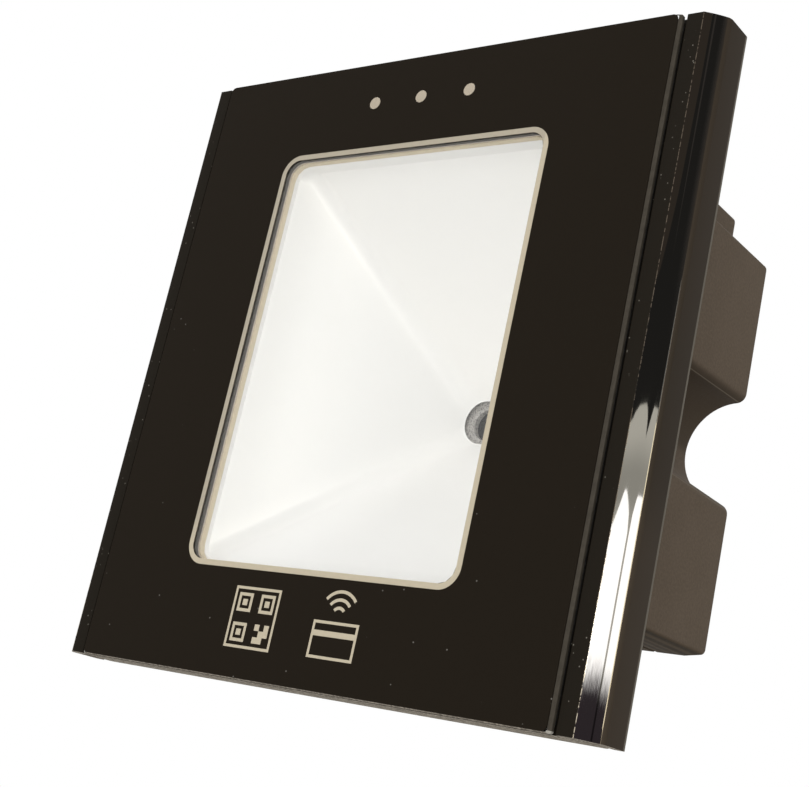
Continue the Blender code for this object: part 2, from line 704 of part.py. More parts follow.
def ribbon_cable(look, base):
    """A flat cable that runs back through the upper tier and swings down to the main board."""
    start = LIP_Y + FRONT_SOCKET_LENGTH + BOND_GAP
    end = ON_BOARD_Y - REAR_SOCKET_LENGTH - BOND_GAP
    swing_start_share, swing_end_share = 0.4, 0.85
    line = [(start, SOCKET_Z)]
    for i in range(RIBBON_STEPS + 1):
        share = i / RIBBON_STEPS
        y = start + (end - start) * (swing_start_share + (swing_end_share - swing_start_share) * share)
        fall = (1 - math.cos(math.pi * share)) / 2
        line.append((y, SOCKET_Z + (REAR_SOCKET_RISE - SOCKET_Z) * fall))
    line.append((end, REAR_SOCKET_RISE))
    upper, lower = [], []
    for i, here in enumerate(line):
        before = Vector(line[max(i - 1, 0)])
        after = Vector(line[min(i + 1, len(line) - 1)])
        direction = (after - before).normalized()
        offset = Vector((-direction.y, direction.x)) * (RIBBON_THICKNESS / 2)
        upper.append(Vector(here) + offset)
        lower.append(Vector(here) - offset)
    section = upper + lower[::-1]
    rings = [[(x, y, z) for y, z in section] for x in (-RIBBON_WIDTH / 2, RIBBON_WIDTH / 2)]
    piece("ribbon_cable", loft(rings), look, base)


def flange_outline(inset):
    return centred(2 * (FLANGE_HALF_WIDTH - inset), 2 * (FLANGE_HALF_HEIGHT - inset), FLANGE_CORNER)


def box_body():
    """The outside of the box, with its rear edges rounded."""
    rings = [along_y(box_outline(0), -FLANGE_THICKNESS / 2)]
    rings.append(along_y(box_outline(0), BOX_DEPTH - BOX_REAR_RADIUS))
    for step in range(1, FILLET_STEPS + 1):
        angle = math.pi / 2 * step / FILLET_STEPS
        inset = BOX_REAR_RADIUS * (1 - math.cos(angle))
        y = BOX_DEPTH - BOX_REAR_RADIUS * (1 - math.sin(angle))
        rings.append(along_y(box_outline(inset), y))
    return loft(rings)


def rib(x_start, x_end, z_start, z_end):
    return prism(rectangle(x_start, x_end, z_start, z_end), FLANGE_Y - RIB_HEIGHT, FLANGE_Y + JOIN_OVERLAP)


def flange_ribs():
    """Ribs from the rim towards the box's opening, three at the top and three at the bottom."""
    half = RIB_THICKNESS / 2
    outer = FLANGE_HALF_HEIGHT - RIM_WALL + JOIN_OVERLAP
    for place in (-1, 0, 1):
        x = place * RIB_PITCH
        yield rib(x - half, x + half, TIER_TOP, outer)
        yield rib(x - half, x + half, -outer, WINDOW_BOTTOM - 2 * HOOD_WALL)


def rear_housing(look, base):
    """Flange and box, moulded in one and open at the front."""
    housing = piece("rear_housing", prism(flange_outline(0), RIM_Y, 0), look, base)
    join(housing, "join_box", box_body())
    rim_pocket = prism(flange_outline(RIM_WALL), RIM_Y - CUT_OVERRUN, FLANGE_Y)
    cut(housing, "cut_rim_pocket", rim_pocket)
    for number, shape in enumerate(flange_ribs(), 1):
        join(housing, f"join_rib_{number}", shape)
    cavity = prism(box_outline(BOX_WALL), RIM_Y - CUT_OVERRUN, REAR_INNER_Y)
    cut(housing, "cut_cavity", cavity)
    hood_room = funnel(HOOD_WALL + SEAT_GAP, RIM_Y - CUT_OVERRUN, HOOD_BACK_Y)
    cut(housing, "cut_hood_room", hood_room)
    for number, (x, z) in enumerate(screw_places(), 1):
        boss = cylinder(BOSS_RADIUS, BOSS_FRONT_Y, FLANGE_Y + JOIN_OVERLAP, x, z)
        join(housing, f"join_hood_boss_{number}", boss)
        depth = SCREW_LENGTH - LIP_THICKNESS - BOND_GAP + SCREW_TIP_GAP
        bore = cylinder(SCREW_RADIUS + BORE_CLEARANCE, BOSS_FRONT_Y - CUT_OVERRUN, BOSS_FRONT_Y + depth, x, z)
        cut(housing, f"cut_hood_bore_{number}", bore)
    for number, (x, z) in enumerate(board_screw_places(), 1):
        boss = cylinder(BOSS_RADIUS, BEHIND_BOARD_Y, REAR_INNER_Y + JOIN_OVERLAP, x, z)
        join(housing, f"join_board_boss_{number}", boss)
        depth = SCREW_LENGTH - MAIN_BOARD_THICKNESS - BOND_GAP + SCREW_TIP_GAP
        bore = cylinder(
            SCREW_RADIUS + BORE_CLEARANCE, BEHIND_BOARD_Y - CUT_OVERRUN, BEHIND_BOARD_Y + depth, x, z
        )
        cut(housing, f"cut_board_bore_{number}", bore)
    for side, name in ((-1, "left"), (1, "right")):
        across = side * FIXING_PITCH / 2
        opening = prism(slot(SLOT_LENGTH, SLOT_WIDTH, across), FLANGE_Y - CUT_OVERRUN, CUT_OVERRUN)
        cut(housing, f"cut_slot_{name}", opening)
        recess_length = SLOT_LENGTH - SLOT_WIDTH + SLOT_RECESS_WIDTH
        recess = prism(
            slot(recess_length, SLOT_RECESS_WIDTH, across),
            FLANGE_Y - CUT_OVERRUN,
            FLANGE_Y + SLOT_RECESS_DEPTH,
        )
        cut(housing, f"cut_slot_recess_{name}", recess)
    width = WIRE_SOCKET_WIDTH + 2 * WIRE_SOCKET_ROOM
    height = WIRE_SOCKET_HEIGHT + 2 * WIRE_SOCKET_ROOM
    wiring = prism(
        centred(width, height, WIRE_SOCKET_ROOM, 0, -WIRE_SOCKET_DROP),
        REAR_INNER_Y - CUT_OVERRUN,
        BOX_DEPTH + CUT_OVERRUN,
    )
    cut(housing, "cut_wiring", wiring)
    for number, (side, z) in enumerate(spring_places(), 1):
        cut(housing, f"cut_spring_pocket_{number}", spring_pocket(side, z))


def spring_places():
    """Side (-1 left, 1 right) and height of each cover spring."""
    return [(side, end * SPRING_RISE) for end in (1, -1) for side in (-1, 1)]


def spring_middle_y():
    return (FLANGE_Y + RIM_WALL / 2) / 2


def spring_pocket(side, z):
    floor = side * (FLANGE_HALF_WIDTH - SPRING_POCKET_DEPTH)
    outside = side * (FLANGE_HALF_WIDTH + CUT_OVERRUN)
    half = SPRING_CHORD / 2 + SEAT_GAP
    outline = rectangle(min(floor, outside), max(floor, outside), z - half, z + half)
    half_height = SPRING_HEIGHT / 2 + BORE_CLEARANCE
    return prism(outline, spring_middle_y() - half_height, spring_middle_y() + half_height)


def cover_springs(look, base):
    """Bowed steel leaves that press on the inside of the frame's side walls."""
    foot = FLANGE_HALF_WIDTH - SPRING_POCKET_DEPTH + BOND_GAP
    crest = WALL_INNER - SPRING_TOUCH_GAP - SPRING_THICKNESS
    for number, (side, z) in enumerate(spring_places(), 1):
        inner, outer = [], []
        for i in range(SPRING_STEPS + 1):
            share = i / SPRING_STEPS
            x = foot + (crest - foot) * (1 - math.cos(math.tau * share)) / 2
            along = (share - 1 / 2) * SPRING_CHORD
            inner.append((side * x, along))
            outer.append((side * (x + SPRING_THICKNESS), along))
        middle = spring_middle_y()
        shape = prism(inner + outer[::-1], middle - SPRING_HEIGHT / 2, middle + SPRING_HEIGHT / 2)
        piece(f"cover_spring_{number}", shape, look, base, (0, 0, z))


def screw_mesh(look):
    """One pan-head screw along Y, its head's seat at y = 0 and its cross recess cut."""
    rounding = SCREW_HEAD_HEIGHT / 3
    profile = [
        (0, -SCREW_HEAD_HEIGHT),
        (SCREW_HEAD_RADIUS - rounding, -SCREW_HEAD_HEIGHT),
        (SCREW_HEAD_RADIUS, rounding - SCREW_HEAD_HEIGHT),
        (SCREW_HEAD_RADIUS, 0),
        (SCREW_RADIUS, 0),
        (SCREW_RADIUS, SCREW_LENGTH - SCREW_RADIUS),
        (0, SCREW_LENGTH),
    ]
    pattern = helper("screw_pattern", lathe(profile, SMALL_ROUND_STEPS))
    wide, narrow = SCREW_CROSS_SPAN / 2, SCREW_CROSS_WIDTH / 2
    lower_arms = [(narrow, -wide), (narrow, -narrow), (wide, -narrow)]
    upper_arms = [(x, -z) for x, z in reversed(lower_arms)]
    outline = mirrored(lower_arms + upper_arms)
    cross = prism(outline, -SCREW_HEAD_HEIGHT - CUT_OVERRUN, SCREW_CROSS_DEPTH - SCREW_HEAD_HEIGHT)
    cut(pattern, "cut_cross", cross)
    graph = bpy.context.evaluated_depsgraph_get()
    mesh = bpy.data.meshes.new_from_object(pattern.evaluated_get(graph))
    mesh.name = "screw"
    mesh.materials.append(look)
    pattern.modifiers.clear()
    return mesh


def screws(mesh, base):
    """Four screws through the hood's lip and four through the main board."""
    sets = (
        ("hood_screw", screw_places(), LIP_Y - BOND_GAP),
        ("board_screw", board_screw_places(), ON_BOARD_Y),
    )
    for name, places, seat in sets:
        for number, (x, z) in enumerate(places, 1):
            screw = bpy.data.objects.new(f"{name}_{number}", mesh)
            bpy.context.scene.collection.objects.link(screw)
            screw.parent = base
            screw.location = (x, seat, z)


def main_board(look, base):
    """The board that fills the box, with the same side notches and holes for its screws."""
    inset = BOX_WALL + MAIN_BOARD_CLEARANCE
    outline = notched_outline(
        BOX_HALF_WIDTH - inset,
        inset - BOX_HEIGHT / 2,
        BOX_HEIGHT / 2 - inset,
        NOTCH_RADIUS + inset,
        NOTCH_LIP_RADIUS,
        BOARD_CORNER,
    )
    board = piece("main_board", prism(outline, MAIN_BOARD_Y, MAIN_BOARD_BACK_Y), look, base)
    for number, (x, z) in enumerate(board_screw_places(), 1):
        hole = cylinder(
            SCREW_RADIUS + 2 * BORE_CLEARANCE,
            MAIN_BOARD_Y - CUT_OVERRUN,
            MAIN_BOARD_BACK_Y + CUT_OVERRUN,
            x,
            z,
        )
        cut(board, f"cut_board_hole_{number}", hole)


def camera(black, glass, foam, sensor_look, base):
    """Sensor, holder, screwed-in barrel, front lens and the foam ring that meets the hood."""
    sensor = chip(SENSOR_WIDTH, SENSOR_HEIGHT, SENSOR_THICKNESS, ON_BOARD_Y, -1)
    piece("image_sensor", sensor, sensor_look, base)
    block = prism(centred(HOLDER_WIDTH, HOLDER_WIDTH, HOLDER_CORNER), HOLDER_Y, ON_BOARD_Y)
    holder = piece("lens_holder", block, black, base)
    bore = cylinder(
        BARREL_STEM_RADIUS + BORE_CLEARANCE,
        HOLDER_Y - CUT_OVERRUN,
        SENSOR_ROOM_Y + JOIN_OVERLAP,
        steps=ROUND_STEPS,
    )
    cut(holder, "cut_holder_bore", bore)
    room = centred(SENSOR_WIDTH + 2 * SENSOR_ROOM, SENSOR_HEIGHT + 2 * SENSOR_ROOM)
    cut(holder, "cut_sensor_room", prism(room, SENSOR_ROOM_Y, ON_BOARD_Y + CUT_OVERRUN))
    lens_seat = BARREL_Y + LENS_THICKNESS + 2 * BOND_GAP
    flange_back = BARREL_Y + BARREL_FLANGE_THICKNESS
    stem_end = SENSOR_ROOM_Y - BOND_GAP
    recess = LENS_RADIUS + BORE_CLEARANCE
    profile = [
        (recess, BARREL_Y),
        (BARREL_FLANGE_RADIUS, BARREL_Y),
        (BARREL_FLANGE_RADIUS, flange_back),
        (BARREL_STEM_RADIUS, flange_back),
        (BARREL_STEM_RADIUS, stem_end),
        (BARREL_BORE_RADIUS, stem_end),
        (BARREL_BORE_RADIUS, lens_seat),
        (recess, lens_seat),
    ]
    piece("lens_barrel", lathe(profile, ROUND_STEPS), black, base)
    lens_back = lens_seat - BOND_GAP
    dome = [(0, lens_back), (LENS_RADIUS, lens_back), (LENS_RADIUS, lens_back - LENS_THICKNESS + LENS_DOME)]
    for i in range(1, FILLET_STEPS + 1):
        share = i / FILLET_STEPS
        dome.append((LENS_RADIUS * (1 - share), lens_back - LENS_THICKNESS + LENS_DOME * (1 - share) ** 2))
    piece("lens_glass", lathe(dome, ROUND_STEPS), glass, base)
    ring = tube(FOAM_RADIUS, FOAM_HOLE_RADIUS, FOAM_Y, FOAM_Y + FOAM_THICKNESS)
    piece("lens_foam_ring", ring, foam, base)


def board_chips(chip_look, can_look, base):
    """Chips, crystal and power coil, as name, width, height, thickness, x, z, and side of the board."""
    rows = (
        ("processor_chip", PROCESSOR_SIZE, PROCESSOR_SIZE, CHIP_THICKNESS, PROCESSOR_PLACE, 1, chip_look),
        ("memory_chip", MEMORY_WIDTH, MEMORY_HEIGHT, CHIP_THICKNESS, MEMORY_PLACE, 1, chip_look),
        ("power_coil", COIL_SIZE, COIL_SIZE, COIL_THICKNESS, COIL_PLACE, 1, chip_look),
        ("crystal", CRYSTAL_WIDTH, CRYSTAL_HEIGHT, CHIP_THICKNESS, CRYSTAL_PLACE, -1, can_look),
    )
    for name, width, height, thickness, (x, z), outward, look in rows:
        seat = BEHIND_BOARD_Y if outward > 0 else ON_BOARD_Y
        piece(name, chip(width, height, thickness, seat, outward), look, base, (x, 0, z))


def board_lights(look, base):
    """White lamps round the camera, which light the hood from behind."""
    places = [(side * FILL_LIGHT_ACROSS, end * FILL_LIGHT_RISE) for end in (1, -1) for side in (-1, 1)]
    for number, (x, z) in enumerate(places, 1):
        lamp = chip(FILL_LIGHT_WIDTH, FILL_LIGHT_HEIGHT, FILL_LIGHT_THICKNESS, ON_BOARD_Y, -1)
        piece(f"fill_light_{number}", lamp, look, base, (x, 0, z))


def buzzer(look, base):
    """A round buzzer with its sound hole."""
    front = ON_BOARD_Y - BUZZER_HEIGHT
    floor = front + BUZZER_HEIGHT / 4
    profile = [
        (0, floor),
        (BUZZER_HOLE_RADIUS, floor),
        (BUZZER_HOLE_RADIUS, front),
        (BUZZER_RADIUS - PART_EDGE, front),
        (BUZZER_RADIUS, front + PART_EDGE),
        (BUZZER_RADIUS, ON_BOARD_Y),
        (0, ON_BOARD_Y),
    ]
    piece("buzzer", lathe(profile, ROUND_STEPS), look, base, (BUZZER_ACROSS, 0, -BUZZER_DROP))


def capacitor(look, base):
    """A small can with a groove near its foot."""
    front = ON_BOARD_Y - CAPACITOR_HEIGHT
    groove = ON_BOARD_Y - CAPACITOR_HEIGHT / 4
    profile = [
        (0, front),
        (CAPACITOR_RADIUS - PART_EDGE, front),
        (CAPACITOR_RADIUS, front + PART_EDGE),
        (CAPACITOR_RADIUS, groove - CAPACITOR_GROOVE),
        (CAPACITOR_RADIUS - CAPACITOR_GROOVE, groove),
        (CAPACITOR_RADIUS, groove + CAPACITOR_GROOVE),
        (CAPACITOR_RADIUS, ON_BOARD_Y),
        (0, ON_BOARD_Y),
    ]
    piece("capacitor", lathe(profile, SMALL_ROUND_STEPS), look, base, (CAPACITOR_ACROSS, 0, -CAPACITOR_DROP))


def rear_ribbon_socket(look, base):
    socket = chip(SOCKET_WIDTH, SOCKET_DEPTH, REAR_SOCKET_LENGTH, ON_BOARD_Y, -1)
    piece("ribbon_socket_rear", socket, look, base, (0, 0, REAR_SOCKET_RISE))


def wire_socket(look, base):
    """The header for the wall wiring, with its row of pins, in the rear wall's opening."""
    back = BOX_DEPTH - WIRE_SOCKET_INSET
    rise = -WIRE_SOCKET_DROP
    body = prism(centred(WIRE_SOCKET_WIDTH, WIRE_SOCKET_HEIGHT, 0, 0, rise), BEHIND_BOARD_Y, back)
    socket = piece("wire_socket", body, look, base)
    pocket_width = WIRE_SOCKET_WIDTH - 2 * WIRE_SOCKET_WALL
    pocket_height = WIRE_SOCKET_HEIGHT - 2 * WIRE_SOCKET_WALL
    floor = BEHIND_BOARD_Y + WIRE_SOCKET_WALL
    pocket = prism(centred(pocket_width, pocket_height, 0, 0, rise), floor, back + CUT_OVERRUN)
    cut(socket, "cut_socket_pocket", pocket)
    for number in range(WIRE_PIN_COUNT):
        x = (number - (WIRE_PIN_COUNT - 1) / 2) * WIRE_PIN_PITCH
        pin = prism(
            centred(WIRE_PIN_WIDTH, WIRE_PIN_WIDTH, 0, x, rise), floor - JOIN_OVERLAP, floor + WIRE_PIN_LENGTH
        )
        join(socket, f"join_pin_{number + 1}", pin)


def build():
    clear_scene()
    ink = material("satin black ink", (0.017, 0.014, 0.012), 0.32)
    pane = material("clear glass", (0.95, 0.97, 0.96), 0.03, 0, 0.95)
    dot = material("pale diffusing ink", (0.72, 0.62, 0.58), 0.45)
    tape = material("black tape", (0.02, 0.02, 0.02), 0.8)
    anodised = material("black anodised aluminium", (0.03, 0.028, 0.027), 0.38, 0.9)
    moulding = material("textured black plastic", (0.06, 0.052, 0.045), 0.6)
    steel = material("bright steel", (0.6, 0.6, 0.58), 0.3, 1)
    foam = material("grey foam", (0.19, 0.19, 0.19), 0.95)
    fibreglass = material("tan fibreglass board", (0.5, 0.42, 0.26), 0.55)
    resist = material("green board", (0.02, 0.11, 0.05), 0.4)
    white = material("white reflector plastic", (0.86, 0.85, 0.83), 0.5)
    black = material("black plastic", (0.012, 0.012, 0.013), 0.45)
    lamp = material("yellow lamp resin", (0.85, 0.72, 0.3), 0.35)
    cream = material("cream connector plastic", (0.74, 0.69, 0.58), 0.5)
    lens = material("coated lens glass", (0.05, 0.06, 0.09), 0.05)
    ribbon = material("white ribbon", (0.8, 0.8, 0.78), 0.5)

    cover = carrier("front_cover_body")
    base = carrier("base_body")
    printed_face(ink, cover)
    status_windows(dot, cover)
    front_glass(pane, cover)
    glass_tape(tape, cover)
    face_frame(anodised, cover)
    rear_housing(moulding, base)
    cover_springs(steel, base)
    reflector_hood(white, base)
    window_gasket(foam, base)
    antenna_board(fibreglass, base)
    antenna_board_parts(lamp, black, cream, base)
    ribbon_cable(ribbon, base)
    screws(screw_mesh(steel), base)
    main_board(resist, base)
    camera(black, lens, foam, lens, base)
    board_chips(black, steel, base)
    board_lights(lamp, base)
    buzzer(black, base)
    capacitor(steel, base)
    rear_ribbon_socket(cream, base)
    wire_socket(cream, base)


build()
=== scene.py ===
"""Wall code and card reader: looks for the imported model, in metres. The wall plane is y = 0."""

import math

import bmesh
import bpy
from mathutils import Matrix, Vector


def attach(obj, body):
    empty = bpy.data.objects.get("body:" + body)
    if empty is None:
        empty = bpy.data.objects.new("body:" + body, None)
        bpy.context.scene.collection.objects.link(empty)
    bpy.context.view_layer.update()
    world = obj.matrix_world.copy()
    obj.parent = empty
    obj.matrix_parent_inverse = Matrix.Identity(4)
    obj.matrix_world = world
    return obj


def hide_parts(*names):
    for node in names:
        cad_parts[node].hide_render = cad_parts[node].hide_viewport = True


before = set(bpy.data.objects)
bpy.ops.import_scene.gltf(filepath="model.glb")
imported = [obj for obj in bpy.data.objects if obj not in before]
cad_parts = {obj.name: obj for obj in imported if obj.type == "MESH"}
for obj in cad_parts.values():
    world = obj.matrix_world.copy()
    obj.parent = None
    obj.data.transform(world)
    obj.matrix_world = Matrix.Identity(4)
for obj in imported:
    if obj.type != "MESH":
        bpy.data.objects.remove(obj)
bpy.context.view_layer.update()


# Rear housing. One moulding in black-brown plastic: a flange with a rim, and a box that goes into
# the wall, with a half-round notch in each side for the wall box's screw posts. The outside has a
# fine spark-eroded texture, and two screws through its slots hold it to the wall box.
class Wire:
    """The output of a node in one material. Arithmetic written with it adds Math nodes."""

    def __init__(self, tree, socket=None):
        self.tree = tree
        self.socket = socket

    def node(self, kind, settings=(), output=0, **inputs):
        """Adds a node with its settings, then sets or links its inputs.

        An input's name has _ for a space, and _2 stands for input number 2.
        """
        made = self.tree.nodes.new("ShaderNode" + kind)
        for name, value in dict(settings).items():
            setattr(made, name, value)
        for name, value in inputs.items():
            key = int(name[1:]) if name[1:].isdigit() else name.replace("_", " ")
            if isinstance(value, Wire):
                self.tree.links.new(value.socket, made.inputs[key])
            else:
                made.inputs[key].default_value = value
        return Wire(self.tree, made.outputs[output])

    def maths(self, operation, *values):
        """A Math node on numbers or wires."""
        inputs = {f"_{i}": value for i, value in enumerate(values)}
        return self.node("Math", {"operation": operation}, **inputs)

    def __add__(self, other):
        return self.maths("ADD", self, other)

    __radd__ = __add__

    def __sub__(self, other):
        return self.maths("SUBTRACT", self, other)

    def __rsub__(self, other):
        return self.maths("SUBTRACT", other, self)

    def __mul__(self, other):
        return self.maths("MULTIPLY", self, other)

    __rmul__ = __mul__

    def __abs__(self):
        return self.maths("ABSOLUTE", self)

    def most(self, other):
        return self.maths("MAXIMUM", self, other)

    def rise(self, low, high):
        """0 below low and 1 above high, with a soft step between."""
        settings = {"interpolation_type": "SMOOTHSTEP"}
        return self.node("MapRange", settings, Value=self, From_Min=low, From_Max=high)

    def place(self):
        """The place on the piece, as a vector."""
        return self.node("TexCoord", output="Object")

    def xyz(self):
        place = self.place()
        return [place.node("SeparateXYZ", output=axis, _0=place) for axis in "XYZ"]

    def noise(self, scale, detail=2.0, stretch=None):
        """Cloudy noise from 0 to 1. Stretch squeezes it along each axis."""
        place = self.place()
        if stretch:
            settings = {"operation": "MULTIPLY"}
            place = place.node("VectorMath", settings, _0=place, _1=stretch)
        return place.node("TexNoise", Vector=place, Scale=scale, Detail=detail, Roughness=0.6)

    def torn(self):
        """The ragged grain of a trimmed, sawn or chipped end, as noise from 0 to 1."""
        return self.noise(2600, 4, (1.3, 0.45, 1))

    def cells(self, scale):
        """The distance to the nearest of many scattered points."""
        return self.node("TexVoronoi", Vector=self.place(), Scale=scale)

    def blend(self, first, second):
        """First where this wire is 0 and second where it is 1. Each is a wire or a colour.

        A Mix node's sockets for colours are 6 and 7, and its result is 2.
        """
        sides = [(*side, 1) if isinstance(side, tuple) else side for side in (first, second)]
        return self.node("Mix", {"data_type": "RGBA"}, 2, _0=self, _6=sides[0], _7=sides[1])


def finish(name, colour, roughness, **steady):
    """A material, its wire and a function that links a wire to the shader's inputs."""
    made = bpy.data.materials.new(name)
    made.use_nodes = True
    shader = made.node_tree.nodes["Principled BSDF"]
    steady = {"Base_Color": (*colour, 1), "Roughness": roughness, **steady}
    for socket, value in steady.items():
        shader.inputs[socket.replace("_", " ")].default_value = value

    def link(**wires):
        for socket, wire in wires.items():
            made.node_tree.links.new(wire.socket, shader.inputs[socket.replace("_", " ")])

    return made, Wire(made.node_tree), link


def grain(wire, height, strength, distance):
    """A bump from a height wire."""
    return wire.node("Bump", Strength=strength, Distance=distance, Height=height)


def rest():
    """Leaves edit mode and deselects everything."""
    if bpy.context.mode != "OBJECT":
        bpy.ops.object.mode_set(mode="OBJECT")
    bpy.ops.object.select_all(action="DESELECT")


def trace(name, points):
    """A flat face, drawn by extruding one vertex from corner to corner.

    It stays in edit mode, all selected.
    """
    rest()
    bpy.ops.mesh.primitive_plane_add(size=0.002)
    made = bpy.context.active_object
    made.name = made.data.name = name
    bpy.ops.object.mode_set(mode="EDIT")
    bpy.ops.mesh.select_mode(type="VERT")
    bpy.ops.mesh.merge(type="CENTER")
    bpy.ops.transform.translate(value=points[0])
    for here, there in zip(points, points[1:]):
        step = Vector(there) - Vector(here)
        bpy.ops.mesh.extrude_region_move(TRANSFORM_OT_translate={"value": step})
    bpy.ops.mesh.select_all(action="SELECT")
    bpy.ops.mesh.edge_face_add()
    return made


def oblong(name, left, right, bottom, top, y):
    """A flat face with four corners, across Y."""
    return trace(name, [(left, y, bottom), (right, y, bottom), (right, y, top), (left, y, top)])


def pick(piece, kind, test, facing=None):
    """Selects only the vertices, edges or faces whose corners all pass the test, in edit mode.

    With facing, a face must look that way or the opposite way.
    """
    bpy.ops.mesh.select_mode(type=kind)
    bpy.ops.mesh.select_all(action="DESELECT")
    shape = bmesh.from_edit_mesh(piece.data)
    for part in {"VERT": shape.verts, "EDGE": shape.edges, "FACE": shape.faces}[kind]:
        corners = [part.co] if kind == "VERT" else [corner.co for corner in part.verts]
        if facing and abs(part.normal.dot(Vector(facing))) < 0.99:
            continue
        if all(test(*corner) for corner in corners):
            part.select_set(True)
    bmesh.update_edit_mesh(piece.data)


def face_outwards():
    """Turns all faces of the piece in edit mode outwards."""
    bpy.ops.mesh.select_all(action="SELECT")
    bpy.ops.mesh.normals_make_consistent(inside=False)


def pull(depth):
    """Extrudes the selected face along Y and closes the form."""
    bpy.ops.mesh.extrude_region_move(TRANSFORM_OT_translate={"value": (0, depth, 0)})
    face_outwards()


def slab(name, left, right, bottom, top, front, back, radius=0.0, steps=6):
    """A plate across Y with round corners."""
    made = oblong(name, left, right, bottom, top, front)
    if radius:
        bpy.ops.mesh.bevel(affect="VERTICES", offset=radius, segments=steps)
        bpy.ops.mesh.select_all(action="SELECT")
    pull(back - front)
    return made


def rod(name, radius, front, back, steps=48):
    """A round bar along Y."""
    rest()
    bpy.ops.mesh.primitive_cylinder_add(
        vertices=steps, radius=radius, depth=back - front, location=(0, (front + back) / 2, 0),
        rotation=(math.pi / 2, 0, 0),
    )
    made = bpy.context.active_object
    made.name = made.data.name = name
    bpy.ops.object.transform_apply()
    bpy.ops.object.mode_set(mode="EDIT")
    return made


def repeat(piece, places):
    """Copies a piece to each (x, z) and makes the copies one."""
    rest()
    pattern = piece.data.copy()
    for number, (x, z) in enumerate(places):
        made = piece if number == 0 else bpy.data.objects.new(piece.name, pattern.copy())
        if number:
            bpy.context.scene.collection.objects.link(made)
        made.location = (x, 0, z)
        made.select_set(True)
    bpy.context.view_layer.objects.active = piece
    bpy.ops.object.join()
    bpy.ops.object.transform_apply()
    return piece


def carve(piece, tool, operation="DIFFERENCE"):
    """Cuts a tool from a piece, or joins it on, and throws the tool away."""
    rest()
    bpy.context.view_layer.objects.active = piece
    step = piece.modifiers.new(tool.name, "BOOLEAN")
    step.operation = operation
    step.solver = "EXACT"
    step.object = tool
    bpy.ops.object.modifier_apply(modifier=step.name)
    bpy.data.objects.remove(tool, do_unlink=True)


def done(piece, body, looks=(), nodes=(), angle=35):
    """Closes a piece's mesh, smooths its round parts, and gives it its finish and its body."""
    rest()
    bpy.context.view_layer.objects.active = piece
    piece.select_set(True)
    bpy.ops.object.mode_set(mode="EDIT")
    bpy.ops.mesh.select_mode(type="VERT")
    bpy.ops.mesh.select_all(action="SELECT")
    bpy.ops.mesh.remove_doubles(threshold=1e-7)
    bpy.ops.mesh.normals_make_consistent(inside=False)
    bpy.ops.object.mode_set(mode="OBJECT")
    bpy.ops.object.shade_smooth_by_angle(angle=math.radians(angle))
    for look in looks:
        piece.data.materials.append(look)
    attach(piece, body)
    if nodes:
        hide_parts(*nodes)


def arc(x, z, radius, start, end, steps):
    """Points on a circle across Y, with both ends."""
    turns = [start + (end - start) * i / steps for i in range(steps + 1)]
    return [(x + radius * math.cos(turn), z + radius * math.sin(turn)) for turn in turns]


plate_half, small_radius = 0.043, 0.0005
box_half, box_top, box_back, box_wall = 0.03385, 0.0271, 0.03245, 0.0016
tier_half, tier_top = 0.02785, 0.03469
notch_x, notch_radius, notch_lip, notch_draft = 0.0334, 0.00715, 0.0013, 0.0007


def box_line(name, inset, y, draft=0.0):
    """The box's outline at one depth, moved in by inset, with notched sides and an upper tier.

    Two small grooves run along its sole. The draft makes the notches narrower.
    """
    half, top, tier, peak = [full - inset for full in (box_half, box_top, tier_half, tier_top)]
    radius = notch_radius + inset - draft
    lip_x = half - notch_lip
    lip_z = math.sqrt((radius + notch_lip) ** 2 - (lip_x - notch_x) ** 2)
    upper = arc(lip_x, lip_z, notch_lip, math.atan2(-lip_z, notch_x - lip_x), 0, 7)
    lower = [(x, -z) for x, z in reversed(upper)]
    meets = math.atan2(lip_z, lip_x - notch_x)
    notch = arc(notch_x, 0, radius, math.tau - meets, meets, 36)
    sole, sole_x = -top - 0.00045, half - 0.0028
    groove, groove_x = 0.0003, half - 0.0070
    corners = [(groove_x - groove, sole), (groove_x, sole + groove), (groove_x + groove, sole)]
    corners += [(sole_x, sole), (half, -top), *lower, *notch[1:-1], *upper]
    corners += [(half, top), (tier, top), (tier, peak)]
    corners += [(-x, z) for x, z in reversed(corners)]
    made = trace(name, [(x, y, z) for x, z in corners])
    pick(made, "VERT", lambda x, at, z: abs(abs(z) - top) < 1e-6 or abs(z - peak) < 1e-6)
    bpy.ops.mesh.bevel(affect="VERTICES", offset=small_radius, segments=5)
    return made


def bridge(rings):
    """Joins flat outlines, each given with its depth, to one closed body."""
    rest()
    for made, _ in rings:
        made.select_set(True)
    made = rings[0][0]
    bpy.context.view_layer.objects.active = made
    bpy.ops.object.join()
    bpy.ops.object.mode_set(mode="EDIT")
    bpy.ops.mesh.select_all(action="SELECT")
    bpy.ops.mesh.delete(type="ONLY_FACE")
    for (_, near), (_, far) in zip(rings, rings[1:]):
        pick(made, "EDGE", lambda x, y, z: min(abs(y - near), abs(y - far)) < 1e-7)
        bpy.ops.mesh.bridge_edge_loops()
    for _, end in (rings[0], rings[-1]):
        pick(made, "EDGE", lambda x, y, z: abs(y - end) < 1e-7)
        bpy.ops.mesh.edge_face_add()
    face_outwards()
    return made


edge_radius, draft_end = 0.001, -0.0013
turns = [math.pi / 2 * i / 6 for i in range(7)]
rear_rings = []
for turn in turns:
    y = box_back - edge_radius * (1 - math.sin(turn))
    rear_rings.append((box_line("housing", edge_radius * (1 - math.cos(turn)), y), y))
housing = bridge([(box_line("housing", 0, draft_end, notch_draft), draft_end), *rear_rings])

